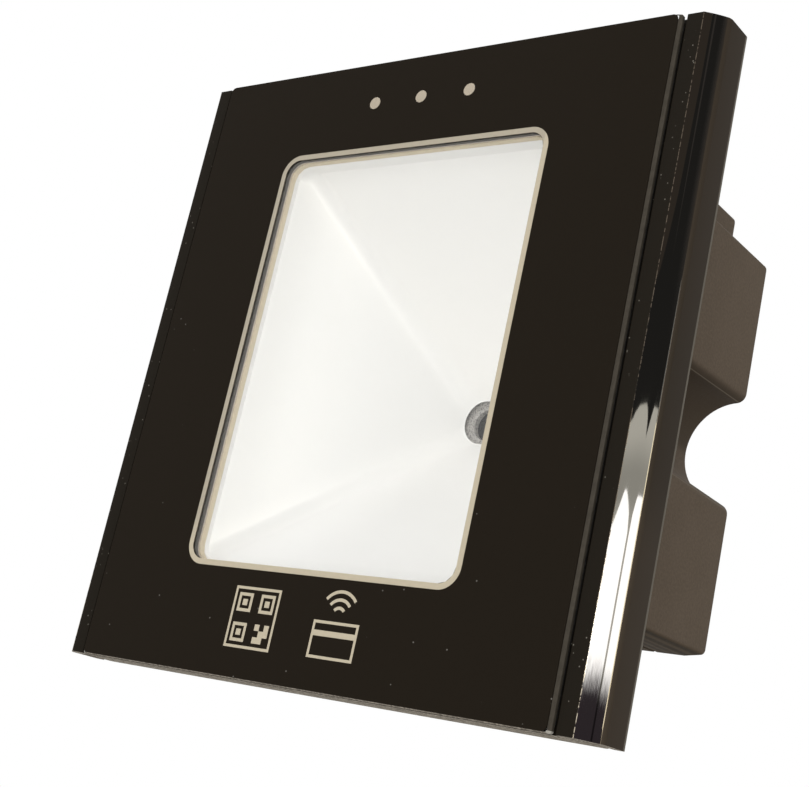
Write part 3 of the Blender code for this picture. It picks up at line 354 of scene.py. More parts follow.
flange_half, flange_front, rim = 0.0409, -0.00445, 0.0012
hood_front, pocket_floor, root = -0.0055, -0.0026, -0.0022
for name, across, along, front, back, operation in (
    ("flange", flange_half, plate_half, flange_front, 0, "UNION"),
    ("rim_pocket", flange_half - rim, plate_half - rim, hood_front, pocket_floor, "DIFFERENCE"),
):
    block = slab(name, -across, across, -along, along, front, back, small_radius)
    carve(housing, block, operation)
rib_half, rib_front = 0.0005, -0.0037
for low, high in ((0.0347, 0.0422), (-0.0422, -0.031)):
    rib = slab("rib", -rib_half, rib_half, low, high, rib_front, root)
    carve(housing, repeat(rib, [(x, 0) for x in (-0.0115, 0, 0.0115)]), "UNION")
cavity_end = 0.03045
cavity = [(box_line("cavity", box_wall, hood_front, notch_draft), hood_front)]
cavity.append((box_line("cavity", box_wall, cavity_end), cavity_end))
carve(housing, bridge(cavity))

window_half, window_low, window_high, window_radius = 0.02165, 0.02845, 0.02915, 0.0022
side_skirt, top_skirt = 0.0007, 0.0021
slope_end, slope_end_half = 0.02065, 0.0033
hood_wall, hood_gap = 0.0013, 0.0003


def funnel(name, grow, front, back):
    """The hood's four-sided funnel: straight skirts, then slopes to the lens hole.

    Its walls are moved out by grow.
    """

    def reach(full, skirt, y):
        start = hood_front + skirt
        share = min(max((y - start) / (slope_end - start), 0), 1)
        return full + (slope_end_half - full) * share + grow

    between = (hood_front + side_skirt, hood_front + top_skirt, 0.008, slope_end)
    rings = []
    for y in [front] + [y for y in between if front < y < back] + [back]:
        side, low = reach(window_half, side_skirt, y), reach(window_low, 0, y)
        made = oblong(name, -side, side, -low, reach(window_high, top_skirt, y), y)
        radius = reach(window_radius, 0, y) * 0.9
        bpy.ops.mesh.bevel(affect="VERTICES", offset=radius, segments=10)
        rings.append((made, y))
    return bridge(rings)


screw_spots = [(x, z) for x in (-0.0218, 0.0218) for z in (0.0367, -0.0334)]
board_spots = [(x, z) for x in (-0.02785, 0.02785) for z in (0.0196, -0.0196)]
boss_radius, bore_radius = 0.0024, 0.001
carve(housing, funnel("hood_room", hood_wall + hood_gap, -0.006, slope_end))
carve(housing, repeat(rod("hood_boss", boss_radius, -0.00425, root), screw_spots), "UNION")
carve(housing, repeat(rod("hood_bore", bore_radius, -0.005, -0.0006), screw_spots))
carve(housing, repeat(rod("board_boss", boss_radius, 0.0278, 0.03085), board_spots), "UNION")
carve(housing, repeat(rod("board_bore", bore_radius, 0.0268, 0.03105), board_spots))
screw_x, slot_front = 0.03015, -0.0036
spring_z, spring_half = 0.024, 0.0048
for side in (-1, 1):
    x = side * screw_x
    for name, half, radius, end in (
        ("slot", 0.0035, 0.00225, 0.001), ("recess", 0.00565, 0.0044, -0.0014)
    ):
        nearly = radius - 0.00001
        carve(housing, slab(name, x - half, x + half, -radius, radius, slot_front, end, nearly, 12))
    left, right = sorted((side * 0.042, side * 0.0399))
    for z in (-spring_z, spring_z):
        low, high = z - spring_half, z + spring_half
        carve(housing, slab("spring_pocket", left, right, low, high, -0.0018, -0.0002))
carve(housing, slab("wiring", -0.011, 0.011, -0.018, -0.010, 0.0294, 0.0334, 0.001))

look, wire, link = finish(
    "textured housing plastic", (0.124, 0.092, 0.064), 0.6, Specular_IOR_Level=0.05
)
x, y, z = wire.xyz()
fleck = wire.noise(2600, 2)
spark_and_painted_light = (wire.noise(180, 4) * 0.25 + fleck * 0.75).rise(0.3, 0.7)
spark_and_painted_light = spark_and_painted_light.blend((0.113, 0.085, 0.059), (0.144, 0.109, 0.079))
from_axis = wire.maths("SQRT", (abs(x) - notch_x) * (abs(x) - notch_x) + z * z)
notch_slope = 0.0215
from_notch = from_axis - notch_slope * y
outside = y.rise(0, 0.0003) * (1 - y.rise(0.0318, 0.0322))
upper = z.rise(-0.001, 0.001)
# Painted shade in the upper notch and its crease; painted highlight lines along both creases.
shade = (1 - from_notch.rise(0.0067, 0.0076)) * outside * upper
spark_and_painted_light = shade.blend(spark_and_painted_light, (0.072, 0.053, 0.036))
upper_line = abs(from_notch - 0.00653).rise(0.00001, 0.00004)
lower_line = abs(from_notch - 0.0072).rise(0.00004, 0.0001)
lip_highlight = (1 - upper.blend(lower_line, upper_line)) * abs(x).rise(0.0324, 0.0326) * outside
spark_and_painted_light = lip_highlight.blend(spark_and_painted_light, (0.17, 0.138, 0.103))
# The sole's fine ridges are real; painted shade makes them darker than the sides.
ridges_in_painted_shade = abs(wire.maths("FRACT", abs(x) * 650) - 0.5).rise(0.1, 0.4)
ridges_in_painted_shade = ridges_in_painted_shade.blend((0.038, 0.026, 0.014), (0.075, 0.053, 0.031))
sole = (0 - z).rise(0.0268, 0.0272) * z.rise(-0.0285, -0.028) * y.rise(0.0002, 0.0005)
trimmed = wire.torn().rise(0.36, 0.64).blend((0.17, 0.145, 0.115), (0.42, 0.37, 0.3))
low_end = (0 - z).rise(plate_half - 0.00015, plate_half - 0.0001)
link(
    Base_Color=low_end.blend(sole.blend(spark_and_painted_light, ridges_in_painted_shade), trimmed),
    Roughness=0.52 + 0.2 * fleck,
    Normal=grain(wire, fleck, 0.35, 0.00006),
)
done(housing, "base", [look], ["rear_housing"])


# Cover springs. Bowed leaves of bright spring steel, pressed into pockets in the flange's sides,
# where they grip the side walls of the face frame.
def dress(look, *nodes):
    """Gives CAD nodes a finish."""
    for name in nodes:
        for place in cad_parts[name].material_slots:
            place.material = look


def numbered(kind, count):
    """The names of like nodes, which end in _1, _2 and so on."""
    return [f"{kind}_{i}" for i in range(1, count + 1)]


look, wire, link = finish("spring steel", (0.5, 0.49, 0.47), 0.3, Metallic=1.0)
link(Roughness=0.22 + 0.2 * wire.noise(900, 2, (1, 1, 0.1)))
dress(look, *numbered("cover_spring", 4))


# Main board. Glass-fibre board, tan at its routed edge, with copper tracks under green solder
# resist. Four screws hold it on the bosses of the housing's rear wall.
look, wire, link = finish("main board", (0.02, 0.1, 0.045), 0.35)
_, y, _ = wire.xyz()
board_middle = 0.02695
face = abs(y - board_middle).rise(0.00072, 0.00078)
track = (wire.noise(420, 0, (1, 1, 0.15)) - 0.5) * 14
track = (1 - abs(track)).rise(0.3, 0.7)
resist = track.blend((0.012, 0.075, 0.032), (0.03, 0.15, 0.07))
link(Base_Color=face.blend((0.42, 0.34, 0.2), resist), Roughness=0.65 - 0.3 * face)
dress(look, "main_board")


# Chips, coil and buzzer. Bodies of black epoxy and plastic, moulded round their parts and soldered
# to the two boards.
look, wire, link = finish("moulded chip black", (0.014, 0.014, 0.015), 0.5)
link(Roughness=0.45 + 0.25 * wire.noise(3000), Normal=grain(wire, wire.noise(4000), 0.3, 0.00003))
dress(look, "processor_chip", "memory_chip", "power_coil", "buzzer", "card_chip")


# Crystal and capacitor. Cans of drawn metal with fine drawing marks, closed over their parts and
# soldered to the main board.
look, wire, link = finish("drawn metal can", (0.6, 0.6, 0.58), 0.28, Metallic=1.0)
link(Roughness=0.2 + 0.2 * wire.noise(1400, 2, (1, 0.1, 1)))
dress(look, "crystal", "capacitor")


# Sockets. Cream plastic mouldings round metal contacts, soldered to the boards: two for the ribbon,
# and one for the wall wiring, which shows in the opening of the rear wall.
look, wire, link = finish("cream connector plastic", (0.7, 0.65, 0.53), 0.45)
link(Roughness=0.4 + 0.15 * wire.noise(2000), Normal=grain(wire, wire.noise(2500), 0.15, 0.00003))
dress(look, "ribbon_socket_front", "ribbon_socket_rear", "wire_socket")


# Ribbon. Tinned copper conductors a millimetre apart, laminated between white films. It runs
# through the box's upper tier and is clamped in a socket on each board.
look, wire, link = finish("ribbon film", (0.76, 0.76, 0.73), 0.35)
x, _, _ = wire.xyz()
between = abs(wire.maths("FRACT", x * 1000 + 100.5) - 0.5).rise(0.2, 0.3)
link(Base_Color=between.blend((0.5, 0.47, 0.42), (0.8, 0.79, 0.76)))
dress(look, "ribbon_cable")


# Lamps. Small blocks of yellow phosphor resin, soldered to the main board behind the hood, and to
# the antenna board behind the three light openings.
look, wire, link = finish("lamp resin", (0.86, 0.78, 0.4), 0.3)
link(Base_Color=wire.noise(1500).blend((0.9, 0.84, 0.5), (0.8, 0.66, 0.25)))
dress(look, *numbered("fill_light", 4), *numbered("status_led", 3))


# Screws. Plated steel with a cross recess, driven through the hood's lip and through the main board
# into the bosses of the housing.
look, wire, link = finish("plated screw steel", (0.56, 0.55, 0.52), 0.3, Metallic=1.0)
link(Roughness=0.22 + 0.25 * wire.noise(1800, 3))
dress(look, *numbered("hood_screw", 4), *numbered("board_screw", 4))


# Camera. A sensor on the main board, under a moulded black holder with a screwed barrel. The lens
# in the barrel's end is coated glass, slightly domed.
look, wire, link = finish("camera black", (0.012, 0.012, 0.013), 0.45)
link(Roughness=0.4 + 0.25 * wire.noise(2500), Normal=grain(wire, wire.noise(3500), 0.2, 0.00003))
dress(look, "lens_holder", "lens_barrel")
look, wire, link = finish("coated lens glass", (0.02, 0.02, 0.02), 0.06, Specular_IOR_Level=0.15)
x, _, z = wire.xyz()
from_middle = wire.maths("SQRT", x * x + z * z).rise(0.0007, 0.0026)
link(Base_Color=from_middle.blend((0.012, 0.011, 0.011), (0.032, 0.028, 0.024)))
dress(look, "image_sensor")
lens_front = 0.02345
lens = rod("lens", 0.0029, lens_front, 0.0239)
pick(lens, "FACE", lambda x, y, z: y < lens_front + 0.00001, (0, 1, 0))
for dome in (0.00016, 0.00013, 0.00009, 0.00005):
    bpy.ops.mesh.inset(thickness=0.00058)
    bpy.ops.transform.translate(value=(0, -dome, 0))
done(lens, "base", [look], ["lens_glass"], 60)


# Lens foam. A punched ring of grey open-cell foam, pressed between the lens barrel and the hood, so
# that stray light doesn't get round the lens.
foam_front, foam_back = 0.0217, 0.0229
foam_ring = rod("foam_ring", 0.0044, foam_front, foam_back)
carve(foam_ring, rod("foam_hole", 0.0023, 0.0205, 0.0235))
bpy.ops.object.mode_set(mode="EDIT")
pick(foam_ring, "EDGE", lambda x, y, z: y < foam_front + 0.00005 or y > foam_back - 0.00005)
bpy.ops.mesh.bevel(offset=0.0002, segments=3)
look, wire, link = finish("open-cell foam", (0.45, 0.43, 0.42), 0.95, Specular_IOR_Level=0.2)
cell = wire.cells(3800)
cloud = wire.noise(1200, 3)
foam = (cell * 0.7 + cloud * 0.5).rise(0.3, 0.7)
link(
    Base_Color=foam.blend((0.18, 0.17, 0.16), (0.5, 0.48, 0.455)),
    Normal=grain(wire, cell + cloud, 0.9, 0.00015),
)
done(foam_ring, "base", [look], ["lens_foam_ring"], 50)


# Reflector hood. Thin white moulding, a funnel from the window down to the lens hole, with a flat
# lip that is screwed to the housing. Its white is toned with painted light and shade, standing in
# for the light that falls on it and that the lamps behind it shine through the wall.
lip_half, lip_low, lip_high, lip_back = 0.0244, 0.0359, 0.0392, -0.0043
hood = slab("hood", -lip_half, lip_half, -lip_low, lip_high, hood_front, lip_back, 0.001)
funnel_end, hole_end, cut_front, cut_back = 0.02165, 0.0218, -0.0065, -0.0033
carve(hood, funnel("hood_outside", hood_wall, -0.0049, funnel_end), "UNION")
carve(hood, rod("collar", 0.0055, 0.02125, 0.02265), "UNION")
peg_spots = [(x, z) for x in (-0.02305, 0.02305) for z in (-0.014, 0.014)]
carve(hood, repeat(rod("peg", 0.0007, -0.00615, -0.0051, steps=20), peg_spots), "UNION")
carve(hood, funnel("hood_inside", 0, cut_front, slope_end))
carve(hood, rod("collar_bore", 0.0045, funnel_end, 0.0235))
hole = rod("lens_hole", 0.00312, 0.02055, hole_end, steps=64)
pick(hole, "VERT", lambda x, y, z: y > hole_end - 0.0001)
bpy.ops.transform.resize(value=(1.3, 1, 1.3), center_override=(0, hole_end, 0))
carve(hood, hole)
carve(hood, repeat(rod("lip_hole", 0.0011, cut_front, cut_back, steps=24), screw_spots))
carve(hood, slab("lip_opening", -0.0153, 0.0058, 0.03055, 0.03605, cut_front, cut_back))
look, wire, link = finish(
    "white reflector plastic", (0.92, 0.91, 0.89), 0.42, Specular_IOR_Level=0.3
)
x, y, z = wire.xyz()
# Painted light and shade: darker side walls, darker low down, a lighter bottom wall at the left.
low = (0 - z).rise(0.0, 0.002)
upright = (abs(z) * 0.74 - abs(x) + 0.0018 * low).rise(-0.004, 0.004)
side_wall_painted_light = wire.noise(60, 3).blend((0.848, 0.843, 0.832), (0.866, 0.861, 0.85))
side_wall_painted_light = (0 - z).rise(0.0, 0.026).blend(side_wall_painted_light, (0.815, 0.81, 0.8))
side_wall_painted_light = (0 - z).rise(0.014, 0.027).blend(side_wall_painted_light, (0.75, 0.745, 0.737))
side_wall_painted_light = y.rise(-0.0045, 0.0015).blend((0.785, 0.78, 0.77), side_wall_painted_light)
side_wall_painted_light = (0 - y).rise(0.00475, 0.00485).blend(side_wall_painted_light, (0.93, 0.92, 0.905))
low_wall_painted_light = z.rise(-0.024, -0.014).blend((0.922, 0.912, 0.892), (0.88, 0.87, 0.85))
low_wall_painted_light = (0 - x).rise(-0.002, 0.013).blend(low_wall_painted_light, (0.99, 0.98, 0.96))
end_wall_painted_light = low.blend((0.95, 0.938, 0.915), low_wall_painted_light)
link(
    Base_Color=upright.blend(side_wall_painted_light, end_wall_painted_light),
    Normal=grain(wire, wire.noise(1500, 2), 0.08, 0.00005),
)
done(hood, "base", [look], ["reflector_hood"])


# Antenna board. Glass-fibre board round the window, with dark resist and a copper coil for the card
# field. It sits on the hood's pegs, and its routed edge shows tan glass fibres in the window.
look, wire, link = finish("antenna board", (0.45, 0.38, 0.25), 0.6)
x, y, z = wire.xyz()
board_middle = -0.00595
window_middle, window_tall = (window_high - window_low) / 2, (window_high + window_low) / 2
from_window = (abs(x) - window_half).most(abs(z - window_middle) - window_tall) * 1000
rough_rim = (from_window + wire.noise(1500, 3) * 0.5).rise(0.6, 0.7)
skin = abs(y - board_middle).rise(0.00037, 0.0004) * rough_rim
strand = wire.maths("FRACT", (x - z + 3 * y + 0.2) * 2600)
fibre = abs(strand - 0.5).rise(0.1, 0.4) * 0.6 + wire.noise(2600, 3) * 0.5
edge = fibre.rise(0.15, 0.85).blend((0.42, 0.34, 0.21), (0.85, 0.73, 0.52))
winding = wire.maths("FRACT", from_window * 1.6)
coil = (1 - abs(winding - 0.5) * 2).rise(0.45, 0.6) * from_window.rise(0.1, 0.2)
face = coil.blend((0.008, 0.02, 0.03), (0.02, 0.05, 0.06))
link(Base_Color=skin.blend(edge, face), Roughness=0.75 - 0.35 * skin)
dress(look, "antenna_board")


# Window gasket. Grey-lilac foam with a black front, die-cut to a ring and glued to the antenna
# board. It closes the window against the pane.
def ring(name, grow, width, front, back):
    """A flat ring round the window: its inner edge lies grow outside the window's edge."""
    half, low, high = [edge + grow + width for edge in (window_half, window_low, window_high)]
    made = oblong(name, -half, half, -low, high, front)
    bpy.ops.mesh.bevel(affect="VERTICES", offset=window_radius + width, segments=10)
    bpy.ops.mesh.select_mode(type="FACE")
    bpy.ops.mesh.select_all(action="SELECT")
    bpy.ops.mesh.inset(thickness=width)
    bpy.ops.mesh.delete(type="FACE")
    bpy.ops.mesh.select_all(action="SELECT")
    pull(back - front)
    return made


gasket = ring("gasket", 0.00012, 0.00168, -0.00705, -0.0064)
look, wire, link = finish("gasket foam", (0.55, 0.48, 0.42), 0.9, Specular_IOR_Level=0.2)
_, y, _ = wire.xyz()
cell = wire.cells(5200)
foam = cell.rise(0.1, 0.8).blend((0.46, 0.4, 0.35), (0.64, 0.57, 0.5))
link(
    Base_Color=y.rise(-0.00663, -0.00658).blend((0.075, 0.068, 0.057), foam),
    Normal=grain(wire, cell, 0.6, 0.00008),
)
done(gasket, "base", [look], ["window_gasket"], 50)


# Face frame. One aluminium extrusion with both rails, black anodised, then cut to length, so that
# its ends are bare. The flat strips are matt, the slightly rounded bevels polished, and the edge
# between them is rubbed to a lighter line. Its colour also holds painted light: a glint low on
# that line, a highlight on the rear edge and lighter lower side walls. The cover springs grip its
# side walls.
web_front, web_rear = -0.00635, -0.00485
strip_x, strip_y = 0.03835, -0.0074
bevel_x, bevel_end = 0.04053, -0.0051
wall_x, wall_end = 0.0414, -0.0003
section = [(0.0, web_front), (strip_x, web_front), (strip_x, strip_y)]
for i in range(11):
    bulge = 0.00007 * math.sin(math.pi * i / 12)
    run, fall = (plate_half - bevel_x) * i / 12, (bevel_end - strip_y) * i / 12
    section.append((bevel_x + run + bulge, strip_y + fall - bulge))
section += [(plate_half, bevel_end), (plate_half, wall_end), (wall_x, wall_end)]
section += [(wall_x, web_rear), (0.0, web_rear)]
rail = trace("face_frame_rails", [(x, y, -plate_half) for x, y in section])
pick(rail, "VERT", lambda x, y, z: x > plate_half - 0.00001 and y < bevel_end + 0.0001)
bpy.ops.mesh.bevel(affect="VERTICES", offset=0.00045, segments=8)
pick(rail, "VERT", lambda x, y, z: x > wall_x - 0.0004 and y > wall_end - 0.0001)
bpy.ops.mesh.bevel(affect="VERTICES", offset=0.0005, segments=5)
pick(rail, "VERT", lambda x, y, z: x < strip_x + 0.00005 and y < strip_y + 0.0001)
bpy.ops.mesh.bevel(affect="VERTICES", offset=0.00008, segments=3)
bpy.ops.mesh.select_all(action="SELECT")
bpy.ops.mesh.extrude_region_move(TRANSFORM_OT_translate={"value": (0, 0, 2 * plate_half)})
face_outwards()
pick(rail, "FACE", lambda x, y, z: x < 1e-5)
bpy.ops.mesh.delete(type="FACE")
rest()
step = rail.modifiers.new("mirror", "MIRROR")
step.merge_threshold = 1e-6
bpy.context.view_layer.objects.active = rail
bpy.ops.object.modifier_apply(modifier="mirror")
carve(rail, slab("web_opening", -0.0252, 0.0252, -0.0367, 0.04, -0.0073, -0.0038, 0.0015))

anodised, wire, link = finish(
    "black anodised aluminium", (0.03, 0.025, 0.02), 0.3, Specular_IOR_Level=0.03
)
x, y, z = wire.xyz()
across = abs(x)
bevel = across.rise(bevel_x - 0.00002, bevel_x + 0.00001) * (0 - y).rise(0.00538, 0.00545)
dust = (1 - wire.cells(1100).rise(0.06, 0.12)) * wire.noise(90, 1).rise(0.42, 0.52)
strip = dust.blend((0.015, 0.0122, 0.0088), (0.18, 0.165, 0.14))
# Painted light: the side walls are lighter on their lower half.
side = (0 - z).rise(0.012, 0.022).blend((0.037, 0.028, 0.0195), (0.05, 0.038, 0.027))
wall = across.rise(wall_x - 0.0002, wall_x).blend(strip, side)
coat_and_painted_light = bevel.blend(wall, (0.042, 0.041, 0.04))
# Painted reflection: on the upper half the bevel's outer rounding is matt, in the side wall's
# colour.
soft = across.rise(0.0422, plate_half) * z.rise(0.0, 0.02)
coat_and_painted_light = soft.blend(coat_and_painted_light, (0.04, 0.03, 0.021))
dashes = wire.noise(2600, 3, (0.02, 0.02, 1)).rise(0.4, 0.56)
on_edge = (1 - abs(across - bevel_x).rise(0.00002, 0.00006)) * (0 - y).rise(0.0072, 0.0073)
rubbed = on_edge * dashes
# The rubbed line is worn; painted glint makes it much lighter towards its lower end.
bright = (0 - z).rise(0.022, 0.036).blend((0.13, 0.105, 0.08), (0.6, 0.53, 0.41))
coat_and_painted_light = rubbed.blend(coat_and_painted_light, bright)
# Painted highlight: a thin light line along the rail's rear edge.
rear_edge_highlight = y.rise(-0.00106, -0.00102) * across.rise(0.04272, 0.0428)
link(
    Base_Color=rear_edge_highlight.blend(coat_and_painted_light, (0.165, 0.147, 0.118)),
    Metallic=bevel * (1 - rubbed) * (1 - soft),
    Roughness=0.5 - 0.475 * bevel,
)
bare, wire, link = finish("sawn aluminium", (0.4, 0.35, 0.3), 0.7, Specular_IOR_Level=0.1)
ragged = wire.torn()
link(
    Base_Color=ragged.rise(0.36, 0.64).blend((0.17, 0.145, 0.115), (0.5, 0.445, 0.37)),
    Normal=grain(wire, ragged, 0.9, 0.00015),
)
rail.data.materials.append(anodised)
rail.data.materials.append(bare)
rest()
rail.select_set(True)
bpy.context.view_layer.objects.active = rail
bpy.ops.object.mode_set(mode="EDIT")
pick(rail, "FACE", lambda x, y, z: abs(z) > plate_half - 0.00001, (0, 0, 1))
rail.active_material_index = 1
bpy.ops.object.material_slot_assign()
done(rail, "front_cover", nodes=["face_frame"])


# Glass tape. Black foam tape with glue on both faces, laid round the opening of the frame's web,
# where it bonds the pane.
look, wire, link = finish("black bonding tape", (0.02, 0.02, 0.02), 0.85)
link(Base_Color=wire.cells(3000).blend((0.012, 0.012, 0.012), (0.035, 0.034, 0.033)))
dress(look, "glass_tape")


# Front glass. A pane of float glass, scored and broken to size, so that its two ends are slightly
# chipped. Its front edges are ground to a small matt bevel, and the tape holds it on the frame.
pane_half, front_half, front_tall, ground_depth = 0.0379, 0.0375, 0.0429, 0.0003
pane = oblong("pane", -front_half, front_half, -front_tall, front_tall, -0.00785)
bpy.ops.mesh.bevel(affect="VERTICES", offset=0.0003, segments=5)
bpy.ops.mesh.select_all(action="SELECT")
bpy.ops.mesh.extrude_region_move(TRANSFORM_OT_translate={"value": (0, ground_depth, 0)})
widen = (pane_half / front_half, 1, plate_half / front_tall)
bpy.ops.transform.resize(value=widen, center_override=(0, 0, 0))
pull(0.00045)
clear, wire, _ = finish(
    "clear pane", (0.98, 0.99, 0.985), 0.0, Transmission_Weight=1.0, IOR=1.5, Specular_IOR_Level=0.5
)
tree = clear.node_tree
shadow, diffuse = [wire.node("LightPath", output=f"Is {ray} Ray") for ray in ("Shadow", "Diffuse")]
glass = Wire(tree, tree.nodes["Principled BSDF"].outputs[0])
open_way = wire.node("BsdfTransparent", Color=(1, 1, 1, 1))
lets_lamps_through = wire.node("MixShader", _0=shadow.most(diffuse), _1=glass, _2=open_way)
tree.links.new(lets_lamps_through.socket, tree.nodes["Material Output"].inputs[0])
ground, wire, link = finish("ground glass edge", (0.1, 0.09, 0.08), 0.7, Specular_IOR_Level=0.05)
x, _, z = wire.xyz()
edge = wire.noise(1200, 3).blend((0.037, 0.032, 0.025), (0.085, 0.073, 0.057))
chipped = wire.torn().rise(0.36, 0.64).blend((0.16, 0.138, 0.11), (0.42, 0.37, 0.31))
edge = abs(z).rise(0.04288, 0.04292).blend(edge, chipped)
# Painted glint at the pane's two lower corners.
corner = (0 - z).rise(0.04265, 0.04275) * abs(x).rise(0.0373, 0.0374)
link(
    Base_Color=corner.blend(edge, (0.4, 0.38, 0.34)),
    Normal=grain(wire, wire.noise(3000, 2), 0.3, 0.00005),
)
pane.data.materials.append(clear)
pane.data.materials.append(ground)
pick(pane, "FACE", lambda x, y, z: True, (0, 1, 0))
bpy.ops.mesh.select_all(action="INVERT")
pane.active_material_index = 1
bpy.ops.object.material_slot_assign()
done(pane, "front_cover", nodes=["front_glass"], angle=20)


# Printed face. Satin black ink, screen-printed on the pane with the window and the light openings
# left clear. A second, cream ink makes the line round the window and two small signs below it: a
# code square, and a card with radio waves.
black = (0.0154, 0.0118, 0.0081)
look, wire, link = finish("satin black ink", black, 0.42, Specular_IOR_Level=0.02)
_, _, z = wire.xyz()
dust = 1 - wire.cells(430).rise(0.026, 0.055)
rare = (wire.noise(120, 1) - 5 * z).rise(0.56, 0.64)
link(
    Base_Color=(dust * rare).blend(black, (0.16, 0.15, 0.135)),
    Roughness=0.38 + 0.1 * wire.noise(200, 3),
)
dress(look, "printed_face")
cream, wire, link = finish("cream screen ink", (0.54, 0.47, 0.345), 0.5, Specular_IOR_Level=0.3)
x, _, z = wire.xyz()
# Painted light: the cream ink is lighter low down and on the right, darker above and at the left.
lower = (0 - z).rise(0.022, 0.027).most(x.rise(0.0215, 0.0218))
speckle = wire.noise(1500, 3)
ink_in_painted_shade = speckle.blend((0.38, 0.335, 0.255), (0.46, 0.41, 0.32))
ink_in_painted_light = speckle.blend((0.49, 0.43, 0.315), (0.57, 0.5, 0.375))
link(Base_Color=lower.blend(ink_in_painted_shade, ink_in_painted_light))
ink_front, ink_depth = -0.00802, 0.00003
line = ring("window_line", 0, 0.00074, ink_front, -0.00789)
done(line, "front_cover", [cream])


def mark(name, left, right, bottom, top):
    """A small printed bar, kept in one mesh with the rest of its sign."""
    return slab(name, left, right, bottom, top, ink_front, ink_front + ink_depth)


def frame_mark(left, right, bottom, top, width):
    """Four bars round a square."""
    return [
        mark("bar", left, right, bottom, bottom + width),
        mark("bar", left, right, top - width, top),
        mark("bar", left, left + width, bottom + width, top - width),
        mark("bar", right - width, right, bottom + width, top - width),
    ]


def sign(name, parts):
    """Joins printed marks to one sign."""
    rest()
    for part in parts:
        part.select_set(True)
    bpy.context.view_layer.objects.active = parts[0]
    bpy.ops.object.join()
    parts[0].name = parts[0].data.name = name
    done(parts[0], "front_cover", [cream])


thin, module = 0.00035, 0.0008
blocks = frame_mark(-0.0118, -0.0040, -0.0392, -0.0314, thin)
for x, z in ((-0.0110, -0.0322), (-0.0110, -0.0360), (-0.0072, -0.0322)):
    blocks += frame_mark(x, x + 3 * module, z - 3 * module, z, module / 2)
    blocks.append(mark("dot", x + module, x + 2 * module, z - 2 * module, z - module))
for row, text in enumerate(("101", "011", "110")):
    for column, bit in enumerate(text):
        if bit == "1":
            x, z = -0.0072 + column * module, -0.0360 - row * module
            blocks.append(mark("block", x, x + module, z - module, z))
sign("code_sign", blocks)

left, right = 0.0022, 0.0094
card_marks = frame_mark(left, right, -0.0390, -0.0344, thin)
card_marks.append(mark("strip", left + thin, right - thin, -0.0363, -0.0356))
wave_x, wave_z, wave_width = (left + right) / 2, -0.0337, 0.0004
start, end = math.radians(40), math.radians(140)
for radius in (0.0012, 0.0022, 0.0032):
    outer = arc(wave_x, wave_z, radius, start, end, 14)
    inner = arc(wave_x, wave_z, radius - wave_width, end, start, 14)
    wave = trace("wave", [(x, ink_front, z) for x, z in outer + inner])
    pull(ink_depth)
    card_marks.append(wave)
sign("card_sign", card_marks)


# Status windows. Dots of pale ink, screen-printed in the three light openings. They spread the
# light of the lamps behind them.
look, wire, link = finish("pale diffusing ink", (0.44, 0.37, 0.28), 0.4)
link(Base_Color=wire.noise(800, 2).blend((0.42, 0.36, 0.27), (0.46, 0.39, 0.3)))
dress(look, *numbered("status_window", 3))


# Studio. A pale floor under the reader, two soft lamps and white surroundings, with dark and white
# cards beside it that show in the polished rails only.
def card(name, distance, corners, colour, strength=1, foot=None, waist=1.0):
    """An upright stage card at a distance from the right rail's bevel. Its corners are (along, z).

    It shows in the rails' slightly soft reflections, and not in the pane's sharp ones. With a foot
    of two heights it fades out unevenly from the upper to the lower one. The waist dims its middle.
    """
    middle_x, middle_y = 0.0418, -0.0062
    out_x, out_y = 0.820, -0.572
    x, y = middle_x + out_x * distance, middle_y + out_y * distance
    made = trace(name, [(x - out_y * along, y + out_x * along, z) for along, z in corners])
    rest()
    look = bpy.data.materials.new(name)
    look.use_nodes = True
    tree = look.node_tree
    wire = Wire(tree)
    shown = (*colour, 1)
    if foot:
        _, _, z = wire.xyz()
        dimmed = tuple(waist * part for part in colour)
        shown = abs(z - 0.125).rise(0.004, 0.03).blend(dimmed, colour)
        fade = (z + (wire.noise(150, 4) - 0.5) * 0.02).rise(*foot)
        shown = fade.blend((0.02, 0.016, 0.018), shown)
    glow = wire.node("Emission", Color=shown, Strength=strength)
    unseen = wire.node("BsdfTransparent")
    sharp = wire.node("LightPath", output="Is Singular Ray")
    only_rails = wire.node("MixShader", _0=sharp, _1=glow, _2=unseen)
    tree.links.new(only_rails.socket, tree.nodes["Material Output"].inputs[0])
    made.data.materials.append(look)
    made.visible_camera = made.visible_diffuse = False
    made.visible_shadow = made.visible_transmission = False


flag = [(-0.2, 0.13), (0.3, 0.13), (0.3, 0.55), (-0.2, 0.55)]
card("upper_dark_flag", 0.608, flag, (0.25, 0.24, 0.22))
flag = [(-0.2, -0.35), (0.3, -0.35), (0.3, 0.04), (-0.2, 0.04)]
card("lower_dark_flag", 0.608, flag, (0.48, 0.36, 0.36))
brown = [(-0.4, 0.22), (-0.13, 0.22), (-0.085, 0.29), (-0.065, 0.36), (-0.06, 0.55), (-0.4, 0.55)]
card("brown_streak", 0.604, brown, (0.55, 0.45, 0.35))
pale = [(-0.03, 0.25), (-0.02, 0.33), (-0.005, 0.55), (-0.045, 0.55)]
card("pale_streak", 0.604, pale, (0.6, 0.54, 0.48))
grey = [(-0.4, -0.03), (-0.4, 0.12), (-0.125, 0.145), (-0.122, 0.157), (-0.107, 0.165)]
grey += [(-0.088, 0.168), (-0.023, 0.168), (-0.001, 0.165), (0.017, 0.16), (0.034, 0.15)]
grey += [(0.049, 0.159), (0.067, 0.168), (0.2, 0.17), (0.2, -0.03)]
card("grey_card", 0.604, grey, (1, 0.97, 0.85), strength=8.6, foot=(0.01, 0.04), waist=0.64)
white = (1, 0.99, 0.97)
